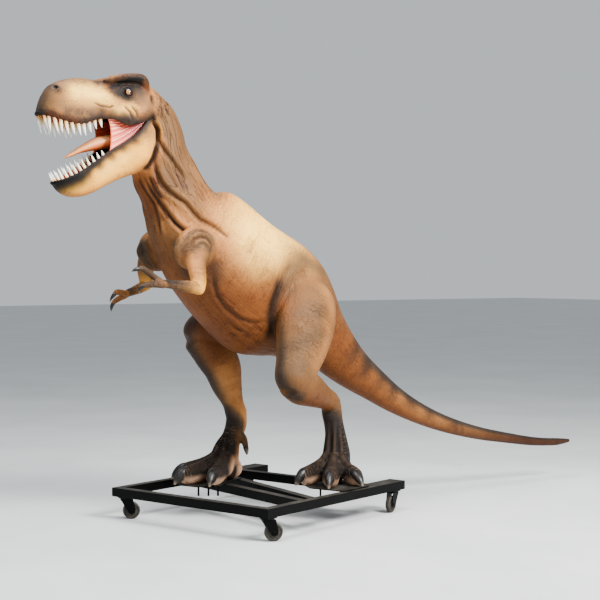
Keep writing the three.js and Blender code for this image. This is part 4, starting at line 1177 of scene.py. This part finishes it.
# Jaw: a cream middle, darker towards its hinge, a dark line of painted shade in the crease
# behind it, brown and black along the lip with drips below, and a black chin. The first three
# paths are along the jaw and up from it.
for paint, path, reach, thick in (
    ("cream", [(0.22, -0.10), (0.40, -0.10)], 0.030, 0.5),
    ("sand", [(0.02, -0.02), (0.06, -0.13)], 0.040, 0.7),
    ("tan", [(0.03, -0.05), (0.10, -0.05)], 0.034, 0.4),
):
    along, up = np.array(path).T
    spray(paint, on_jaw(along, 0.0, up)[:, ::2], reach, thick, only=on_jaw_skin)
# Umber down the crease behind the jaw: painted shade
spray("umber", [(-1.363, 2.254), (-1.327, 2.193), (-1.329, 2.111), (-1.351, 2.034), (-1.388, 1.986)],
      0.009, 0.85)
rim = [on_jaw(np.array(along / 1000), 0.0, top * 0.001 - 0.004)[::2] for along, top, _, _ in JAW]
spray("umber", rim[1:9], 0.019, 0.8)
spray("slate", rim[1:8], 0.011, 0.7)
spray("soot", rim[8:], 0.042, 0.98)
spray("soot", rim[6:9], 0.018, 0.8)
JAW_DRIPS = [(0.09, 0.030), (0.17, 0.045), (0.25, 0.040), (0.33, 0.050), (0.41, 0.045), (0.49, 0.050)]
for where, drop in JAW_DRIPS:
    top = np.interp(where, jaw_run[:, 0], jaw_run[:, 1])
    drip = on_jaw(np.array([where, where - 0.01]), 0.0, np.array([top, top - drop * 0.7]))
    spray("umber", drip[:, ::2], 0.017, 0.45)

# Inside the mouth: dark red gums, going black towards the throat as painted shade
jaw_up = lean[:, 2] * math.cos(JAW_DROP) - lean[:, 0] * math.sin(JAW_DROP)
skull_low = np.interp(-(spots[:, 0] - FRAME_MIDDLE.x), -skull_run[:, 0], skull_run[:, 2])
skull_half = np.interp(-(spots[:, 0] - FRAME_MIDDLE.x), -skull_run[:, 0], skull_run[:, 3])
inward = -np.sign(spots[:, 1]) * lean[:, 1]
off_middle = np.abs(spots[:, 1])
floor_of_mouth = (part_of("jaw") & (jaw_above > jaw_top - 0.075) & (off_middle < 0.90 * jaw_half)
                  & (jaw_along < 0.615) & ((jaw_up > 0.35) | (inward > 0.3)))
roof_of_mouth = (part_of("skull") & (spots[:, 2] < skull_low + 0.085) & (off_middle < 0.84 * skull_half)
                 & (spots[:, 0] > -1.955) & ((lean[:, 2] < -0.3) | (inward > 0.3)))
lining = np.maximum(floor_of_mouth, roof_of_mouth).astype(float)
# Blacker the deeper into the mouth: painted shade
throat_shade = np.clip((spots[:, 0] + 1.72) / 0.16, 0.0, 1.0)[:, None]
inside = over(PAINTS["gum"], PAINTS["throat"], throat_shade)
colour = colour * (1 - lining[:, None]) + inside * lining[:, None]

# Dark paint runs into every fold, partly a wash and partly painted shade
share = np.clip(1.25 * fold_wash_and_shade, 0, 1)[:, None]
colour = over(colour, PAINTS["umber"] * 0.6, share)


def keep(mesh, name, kind, values):
    """Keeps values with the points of a mesh, for its material."""
    layer = mesh.attributes.new(name, kind, "POINT")
    word = {"FLOAT": "value", "FLOAT_VECTOR": "vector", "FLOAT_COLOR": "color"}[kind]
    layer.data.foreach_set(word, np.ascontiguousarray(values, np.float32).ravel())


foot = part_of("toe", "instep") & (spots[:, 2] < 0.56)
scaly = foot * np.clip((0.56 - spots[:, 2]) / 0.1, 0, 1) * np.clip((above + 0.2) / 0.5, 0, 1)
scaly = np.maximum(scaly, part_of("forearm") * np.clip(above / 0.5, 0, 1) * 0.7)
neck = part_of("trunk") * np.clip((0.80 - place[:, 0]) / 0.30, 0, 1) + part_of("skull", "nape")
belly_skin = np.clip((-0.2 - above) / 0.3, 0, 1) * np.clip((1.7 - place[:, 0]) / 0.4, 0, 1)
neck = np.maximum(neck, part_of("trunk") * belly_skin * 0.6)
neck = soften(hide.data, neck[:, None], 8)[:, 0]
head = head.sum(-1)
keep(hide.data, "paint", "FLOAT_COLOR", np.hstack([colour, np.ones((len(spots), 1))]))
keep(hide.data, "run", "FLOAT_VECTOR", place)
keep(hide.data, "streaked", "FLOAT", neck)
keep(hide.data, "scaly", "FLOAT", scaly)
keep(hide.data, "head", "FLOAT", np.maximum(head, lining))
keep(hide.data, "lining", "FLOAT", lining)
clear = soften(hide.data, clear[:, None], 6)[:, 0]
keep(hide.data, "clear", "FLOAT", clear)

skin = Finish("painted_hide", Specular_IOR_Level=0.14)
skin_place = skin.object_place()
run = skin.kept("run", "Vector")
streaked, scaly, head, lining, clear = (
    skin.kept(name) for name in ("streaked", "scaly", "head", "lining", "clear"))
paint = skin.kept("paint", "Color")


def along_skin(lengthways, across):
    """A place that runs with the skin, so that a pattern is drawn out along or round a limb."""
    return skin.node("Mapping", inputs={"Vector": run, "Scale": (lengthways, across, across)})


fine_streaks = skin.noise(along_skin(2.4, 52.0), 1.0, 3.0, 0.6, 0.5)
broad_streaks = skin.noise(along_skin(1.6, 20.0), 1.0, 3.0, 0.5, 0.6)
streaks = fine_streaks * 0.55 + broad_streaks * 0.45
rings = skin.noise(along_skin(95.0, 8.0), 1.0, 3.0, 0.55, 0.6)
plain_grain = skin.noise(skin.object_place((60.0, 60.0, 12.0)), 1.0, 3.0, 0.55, 0.6)
pores = skin.noise(skin_place, 120.0, 3.0, 0.6)
clouds = skin.noise(skin_place, 5.0, 4.0, 0.6, 0.4)
grain = (streaks * streaked) + (rings * (1 - streaked))
grain = grain * clear + plain_grain * (1 - clear)
# Thin creases: long ones down the neck, round ones on the limbs, short cracks on the head
neck_lines = skin.noise(along_skin(1.8, 36.0), 1.0, 0.2, 0.5, 0.1)
limb_lines = skin.noise(along_skin(52.0, 3.5), 1.0, 0.6, 0.5, 0.2)
head_lines = skin.noise(skin_place, 26.0, 2.0, 0.5, 0.8)
creases = [1 - ((lines - 0.5).sum("ABSOLUTE", 0.0)).held(0.004, width)
           for lines, width in ((neck_lines, 0.024), (limb_lines, 0.050), (head_lines, 0.016))]
scattered = skin.noise(skin_place, 9.0, 2.0, 0.5).held(0.40, 0.60)
creased = creases[0] * streaked + creases[1] * (1 - streaked) * scattered * clear
creased = creased * (1 - head) + creases[2] * scattered * head * (1 - lining)
scutes = skin.node("TexWave", {"wave_type": "BANDS", "bands_direction": "X", "wave_profile": "SIN"}, {
    "Vector": along_skin(1.0, 0.12), "Scale": 18.0, "Distortion": 1.2, "Detail": 2.0, "Detail Scale": 8.0,
}, output="Fac")
plain = 1 - scaly
smoother = 1 - head * 0.85
height = grain * (plain * smoother) * (streaked * 0.5 + 0.5) + scutes * scaly * 0.9 + pores * 0.10
skin.bump(height - creased * plain * (streaked * 0.25 + 0.20), 0.012, 0.8)
dark_grain = (1 - grain.held(0.39, 0.48)) * smoother * (streaked * 0.85 + 0.20) * plain
tone = skin.mix(dark_grain, paint, linear(150, 112, 84), "MULTIPLY")
# Thin creases darkened in colour, partly a wash and partly painted shade
tone = skin.mix(creased * plain * (0.42 - streaked * 0.12), tone, linear(110, 82, 66), "MULTIPLY")
# Scales: darker in the grooves between the scutes, painted shade, and lighter on their crests, a painted
# highlight
tone = skin.mix((1 - scutes.held(0.1, 0.6)) * scaly * 0.8, tone, linear(90, 80, 76), "MULTIPLY")
tone = skin.mix(scutes.held(0.55, 0.95) * scaly * 0.25, tone, linear(120, 100, 84))
tone = skin.mix(clouds.held(0.50, 0.70) * 0.45 * (1 - lining), tone, linear(196, 166, 146), "MULTIPLY")
skin.show(tone, (pores * 0.14 + 0.48) - lining * 0.26)
hide.data.materials.clear()
hide.data.materials.append(skin.material)

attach(hide, "statue_and_frame")
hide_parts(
    "head", "jaw", "neck", "chest", "belly", "tail_1", "tail_2", "tail_3", "tail_4",
    *[part + "_" + side for side in ("left", "right")
      for part in ("upper_arm", "forearm", "hand", "thigh", "shank", "instep", "foot")],
)

# The claws: solid cast horn, blunt on the toes and hooked on the fingers, near black with
# worn grey tips. Each is set into the flesh of its toe or finger.
horn = Finish("dark_horn", Specular_IOR_Level=0.25)
horn_place = horn.object_place()
horn_grain = horn.noise(horn_place, 55.0, 5.0, 0.6, 0.5)
worn = horn.kept("worn")
horn_tone = horn.ramp(horn_grain, [(0.3, linear(10, 9, 9)), (0.75, linear(34, 30, 28))])
horn.bump(horn_grain, 0.002, 0.5)
horn_tip = worn * horn_grain.held(0.25, 0.6)
horn.show(horn.mix(horn_tip, horn_tone, linear(150, 132, 112)), horn_grain * 0.25 + 0.22)

# A toe's claw in rows of the way past the toe's end, the height, and the reach up, down and
# sideways, and the dewclaw's in the same rows from the ankle
CLAW = [
    (-46, 252, 20, 26, 20), (-22, 250, 34, 40, 30), (4, 243, 33, 40, 29), (28, 230, 27, 31, 23),
    (47, 214, 19, 21, 16), (60, 200, 10, 10, 9), (65, 192, 4, 4, 4),
]
SMALL_CLAW = [(104, 388, 14, 14, 13), (110, 366, 17, 17, 16), (114, 344, 12, 12, 11), (115, 326, 4, 4, 4)]


def lofted(name, rows, steps=5, sides=20, side=1):
    """A closed claw or tongue through rows like those of a limb, and how far along it each of
    its points is, from 0 to 1."""
    loft(name, rows, steps, sides, side, axis=False)
    piece = FORMS.pop()
    count = len(piece.data.vertices)
    share = np.clip(np.arange(count) / (count - 2), 0.0, 1.0)
    share[-2:] = 0.0, 1.0
    return piece, share


def joined(name, pieces):
    """Several like pieces fixed as one."""
    bpy.ops.object.select_all(action="DESELECT")
    for piece in pieces:
        piece.select_set(True)
    bpy.context.view_layer.objects.active = pieces[0]
    if len(pieces) > 1:
        bpy.ops.object.join()
    whole = bpy.context.object
    whole.name = name
    whole.data.name = name
    bpy.ops.object.shade_smooth()
    return whole


foot_claws = {-1: [], 1: []}
for side, ankle, way, length in CLAWS:
    claw, share = lofted("claw", out_from(ankle, way, [(length + far, *row) for far, *row in CLAW]))
    keep(claw.data, "worn", "FLOAT", np.clip((share - 0.72) / 0.28, 0, 1))
    foot_claws[side].append(claw)
for name, (side, _, _, _, ankle, heading) in LEGS.items():
    claw, share = lofted("claw", out_from(ankle, heading + side * DEWCLAW_TURN, SMALL_CLAW))
    keep(claw.data, "worn", "FLOAT", np.clip((share - 0.3) / 0.5, 0, 1))
    foot_claws[side].append(claw)
    toes = joined("foot_claws_" + name, foot_claws[side])
    fingers = []
    for row in ARMS[name][4]:
        claw, share = lofted("claw", row, 5, 14, side)
        keep(claw.data, "worn", "FLOAT", np.clip((share - 0.7) / 0.3, 0, 1) * 0.6)
        fingers.append(claw)
    hands = joined("hand_claws_" + name, fingers)
    for piece in (toes, hands):
        piece.data.materials.append(horn.material)
        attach(piece, "statue_and_frame")

# The teeth: cast resin cones, ivory at the tip and yellow at the gum, each one bent back a
# little and set into the lip by hand, the longest near the front of the upper row.
ivory = Finish("ivory_resin", Specular_IOR_Level=0.6, Coat_Weight=0.4, Coat_Roughness=0.15)
root_share = ivory.kept("root")
ivory_stain = ivory.noise(ivory.object_place(), 140.0, 3.0, 0.6)
ivory_tone = ivory.ramp(root_share + ivory_stain * 0.16, [
    (0.10, linear(255, 250, 236)), (0.55, linear(252, 236, 198)), (1.0, linear(206, 150, 84)),
])
ivory.bump(ivory_stain, 0.0008, 0.3)
ivory.show(ivory_tone, ivory_stain * 0.2 + 0.15)

# One tooth is turned as a cone, cut into short lengths and filled out to a bullet shape
CONE_HEIGHT = 1.3
GUM_HEIGHT = 0.3      # how much of it is below the gum
bpy.ops.object.select_all(action="DESELECT")
bpy.ops.mesh.primitive_cone_add(
    vertices=12, radius1=1.0, radius2=0.10, depth=CONE_HEIGHT, end_fill_type="NGON")
first_tooth = bpy.context.object
bpy.ops.object.mode_set(mode="EDIT")
bpy.ops.mesh.select_all(action="SELECT")
bpy.ops.mesh.subdivide(number_cuts=5)
bpy.ops.object.mode_set(mode="OBJECT")
shape = read_points(first_tooth.data)
tall = shape[:, 2] + CONE_HEIGHT / 2 - GUM_HEIGHT
round_up = np.clip(tall, 0.0, 1.0)
fuller = (1.0 - 0.40 * round_up - 0.53 * round_up**2.2) / (1.0 - 0.9 * (tall + GUM_HEIGHT) / CONE_HEIGHT)
TOOTH = np.stack([shape[:, 0] * fuller, shape[:, 1] * fuller, tall], -1)
TOOTH_BEND = 0.10


def tooth(root, towards, back, length, width):
    """A copy of the tooth with its gum end at a place, bent towards the throat."""
    piece = bpy.data.objects.new("tooth", first_tooth.data.copy())
    bpy.context.collection.objects.link(piece)
    towards = unit(np.array(towards, float))
    back = unit(np.array(back, float) - towards * (np.array(back, float) @ towards))
    side = np.cross(towards, back)
    lengthways = TOOTH[:, 2:3] * length
    bend = TOOTH_BEND * length * TOOTH[:, 2:3] ** 2 * np.sign(TOOTH[:, 2:3])
    write_points(piece.data, np.array(root) + towards * lengthways
                 + back * (TOOTH[:, 0:1] * width * 1.15 + bend) + side * TOOTH[:, 1:2] * width)
    keep(piece.data, "root", "FLOAT", np.clip(1.0 - TOOTH[:, 2] * 1.6, 0, 1))
    return piece


# Upper row: the place along the skull, the length and how far the tip leans back. Lower row:
# the place along the jaw and the length.
UPPER_TEETH = [
    (-1382, 72, 0.16), (-1364, 80, 0.0), (-1338, 86, 0.16), (-1306, 80, 0.02), (-1278, 76, 0.10),
    (-1246, 66, 0.14), (-1210, 72, 0.14), (-1180, 66, 0.10), (-1149, 60, 0.12), (-1117, 52, 0.12),
    (-1086, 44, 0.12),
]
LOWER_TEETH = [
    (622, 56), (606, 64), (582, 66), (556, 66), (530, 64), (502, 62), (474, 60), (444, 58),
    (412, 54), (380, 48), (350, 40),
]
UPPER_WIDTH, LOWER_WIDTH = 0.0090, 0.0080
chance = np.random.RandomState(7)
upper, lower = [], []
for side in (-1, 1):
    for x, length, lean_back in UPPER_TEETH:
        x += chance.uniform(-4, 4) * (side > 0)
        half = np.interp(x / 1000, skull_run[::-1, 0], skull_run[::-1, 3])
        low = np.interp(x / 1000, skull_run[::-1, 0], skull_run[::-1, 2])
        root = (x / 1000 + FRAME_MIDDLE.x + 0.004, side * (half - 0.014), low - 0.002)
        upper.append(tooth(root, (lean_back, side * 0.05, -1.0), (1.0, 0.0, 0.0),
                           length / 1000 * chance.uniform(0.92, 1.04), UPPER_WIDTH))
    for along, length in LOWER_TEETH:
        along += chance.uniform(-5, 5) * (side > 0)
        half = np.interp(along / 1000, jaw_run[:, 0], jaw_run[:, 3])
        top = np.interp(along / 1000, jaw_run[:, 0], jaw_run[:, 1])
        root, tip = on_jaw(
            np.array([along, along + 2]) / 1000, side * (half - 0.016), np.array([top - 0.012, top + 0.05]))
        lower.append(tooth(root, tip - root + (0.0, side * 0.003, 0.0), (1.0, 0.0, 0.3),
                           length / 1000 * chance.uniform(0.92, 1.06), LOWER_WIDTH))
bpy.data.objects.remove(first_tooth)
for name, row in (("upper_teeth", upper), ("lower_teeth", lower)):
    teeth = joined(name, row)
    teeth.data.materials.clear()
    teeth.data.materials.append(ivory.material)
    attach(teeth, "statue_and_frame")

# The eyes: glossy resin balls set into the sockets, a golden iris with an upright slit, and
# a black ring round it.
gloss = Finish("glass_eye", Specular_IOR_Level=0.5, Coat_Weight=0.4, Coat_Roughness=0.05)
gaze = gloss.kept("gaze", "Vector")
gaze_parts = [gloss.node("SeparateXYZ", inputs={0: gaze}, output=k) for k in range(3)]
spokes = gloss.noise(gaze, 9.0, 3.0, 0.6, 1.0)
iris = gloss.ramp(gaze_parts[0] + spokes * 0.16, [
    (0.06, linear(255, 226, 140)), (0.28, linear(226, 150, 44)), (0.50, linear(150, 84, 18)),
    (0.60, linear(6, 4, 4)),
])
slit = (gaze_parts[1] ** 2.0) * 60.0 + (gaze_parts[2] ** 2.0) * 5.0
gloss.show(gloss.mix(1 - slit.held(0.5, 0.8), iris, linear(8, 7, 7)), 0.08)
EYE_SIZE = 0.0225
HEAD_UP = np.array([0.0, 0.0, 1.0])
for name, side, look in (("left", -1, (-0.50, -0.86, -0.10)), ("right", 1, (-0.30, 0.94, -0.10))):
    bpy.ops.object.select_all(action="DESELECT")
    bpy.ops.mesh.primitive_uv_sphere_add(segments=40, ring_count=24, radius=EYE_SIZE)
    ball = bpy.context.object
    ball.name = "eyeball_" + name
    look = unit(np.array(look))
    across = unit(np.cross(look, HEAD_UP))
    upward = np.cross(across, look)
    shape = read_points(ball.data) / EYE_SIZE
    turned = shape[:, 2:3] * look + shape[:, 0:1] * across + shape[:, 1:2] * upward
    bulge = 1.0 + 0.06 * np.exp(-((np.hypot(shape[:, 0], shape[:, 1]) / 0.5) ** 2)) * (shape[:, 2] > 0)
    middle = np.array([EYE[0] - 0.002, side * 0.1215, EYE[2]])
    write_points(ball.data, middle + turned * EYE_SIZE * bulge[:, None])
    off_line = np.where(shape[:, 2] > 0, np.hypot(shape[:, 0], shape[:, 1]), 1.0)
    keep(ball.data, "gaze", "FLOAT_VECTOR", np.stack([off_line, shape[:, 0], shape[:, 1]], -1))
    ball.data.materials.append(gloss.material)
    bpy.ops.object.shade_smooth()
    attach(ball, "statue_and_frame")
    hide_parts("eye_" + name)

# The tongue and the skin at the corners of the mouth: smooth laminate painted salmon pink
# and varnished, the tongue grooved down its middle, the skin drawn into fans of fine folds.
varnish = Finish("varnished_flesh", Specular_IOR_Level=0.5, Coat_Weight=0.5, Coat_Roughness=0.2)
flesh_paint = varnish.kept("paint", "Color")
flesh_grain = varnish.noise(varnish.object_place(), 90.0, 4.0, 0.6)
varnish.bump(flesh_grain, 0.0016, 0.4)
flesh_flecks = flesh_grain.held(0.55, 0.8) * 0.25
varnish.show(varnish.mix(flesh_flecks, flesh_paint, linear(150, 40, 24)), flesh_grain * 0.2 + 0.28)

# The tongue in rows of the way along the jaw, the way up from it, and its reach down, up and
# sideways
TONGUE = [
    (60, -60, 30, 36, 44), (130, -36, 34, 38, 52), (235, 4, 37, 38, 56), (307, 31, 34, 36, 54),
    (412, 49, 19, 19, 44), (470, 53, 12, 12, 30), (505, 56, 7, 7, 17), (518, 57, 3, 3, 7),
]
tongue_rows = []
for along, up, *girth in TONGUE:
    x, _, z = on_jaw(np.array(along / 1000), 0.0, np.array(up / 1000))
    tongue_rows.append((1000 * (x - FRAME_MIDDLE.x), 0, 1000 * z, girth[1], girth[0], girth[2]))
tongue, share = lofted("tongue_flesh", tongue_rows, 8, 40)
shape, leaning = read_points(tongue.data), read_normals(tongue.data)
topside = np.clip(leaning[:, 2], 0, 1)
groove = np.exp(-((shape[:, 1] / 0.009) ** 2)) * topside * np.sin(np.pi * np.clip(share, 0, 1)) ** 0.5
shape -= leaning * (0.007 * groove)[:, None]
write_points(tongue.data, shape)
rosy, salmon, pale = (np.array(linear(*c)[:3]) for c in ((190, 60, 22), (255, 172, 92), (255, 222, 160)))
tip = np.clip(share, 0, 1)[:, None]
tongue_colour = rosy * (1 - tip) + salmon * tip
# Paler along its upper edges, a painted highlight; rosier underneath and darker in the groove, painted shade
edge = (np.clip(np.abs(shape[:, 1]) / 0.05, 0, 1) * topside)[:, None] * 0.4
tongue_colour = tongue_colour * (1 - edge) + pale * edge
under_shade = np.clip(-leaning[:, 2], 0, 1)[:, None] * 0.6
tongue_colour = tongue_colour * (1 - under_shade) + rosy * under_shade
tongue_colour *= 1 - 0.35 * groove[:, None]
keep(tongue.data, "paint", "FLOAT_COLOR", np.hstack([tongue_colour, np.ones((len(shape), 1))]))
tongue = joined("tongue_flesh", [tongue])
tongue.data.materials.append(varnish.material)
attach(tongue, "statue_and_frame")
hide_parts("tongue")

# A fan from the corner of the mouth: its lower edge on the jaw and its upper edge under the
# lip, in millimetres along the jaw and up from it
FAN_LOW = [(36, 8), (90, -8), (150, -26), (240, -34), (322, -32)]
FAN_HIGH = [(36, 24), (84, 84), (134, 130), (186, 158), (232, 188)]
fan_low, fan_high = smooth_rows(FAN_LOW, 8) / 1000, smooth_rows(FAN_HIGH, 8) / 1000
FAN_ROWS = 48
FAN_FOLD = 0.0022      # how deep its fine folds are
# The last colour is the pale pink of the painted highlight on the folds' crests
red, pink, crest_highlight = (np.array(linear(*c)[:3]) for c in ((160, 12, 5), (240, 66, 40), (255, 150, 92)))
for name, side in (("left", -1), ("right", 1)):
    out = np.linspace(0.0, 1.0, len(fan_low))[:, None]
    up = np.linspace(0.0, 1.0, FAN_ROWS)[None, :]
    bow = 4 * up * (1 - up)
    along = fan_low[:, None, 0] * (1 - up) + fan_high[:, None, 0] * up - 0.036 * bow * out**2
    above_jaw = fan_low[:, None, 1] * (1 - up) + fan_high[:, None, 1] * up
    folds = FAN_FOLD * out**0.6 * np.sin(up * 60.0 + 1.4 * np.sin(up * 11.0)) * bow**0.3
    across = side * (0.100 + 0.002 * up - 0.012 * bow * out + folds)
    sheet = on_jaw(along, across, above_jaw)
    number = np.arange(sheet.shape[0] * FAN_ROWS).reshape(-1, FAN_ROWS)
    quads = np.stack([number[:-1, :-1], number[1:, :-1], number[1:, 1:], number[:-1, 1:]], -1).reshape(-1, 4)
    mesh = bpy.data.meshes.new("mouth_corner_" + name)
    mesh.from_pydata(sheet.reshape(-1, 3).tolist(), [], quads[:, ::-side].tolist())
    share = np.broadcast_to(np.clip(out * 1.6 - 0.70, 0, 1), along.shape)[..., None]
    tint = red * (1 - share) + pink * share
    # The crests of the fine folds are paler: a painted highlight
    line = (np.clip(folds / FAN_FOLD, -1, 1) * 0.5 + 0.5)[..., None] * share
    tint = tint * (1 - 0.75 * line) + crest_highlight * 0.75 * line
    keep(mesh, "paint", "FLOAT_COLOR", np.concatenate([tint, np.ones(tint.shape[:2] + (1,))], -1))
    fan = bpy.data.objects.new("mouth_corner_" + name, mesh)
    bpy.context.collection.objects.link(fan)
    finish_modifier(fan, "SOLIDIFY", thickness=0.004, offset=-1.0)
    fan = joined("mouth_corner_" + name, [fan])
    fan.data.materials.append(varnish.material)
    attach(fan, "statue_and_frame")
    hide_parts("cheek_" + name)

# The bounds of the finished statue and its frame
low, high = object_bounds()
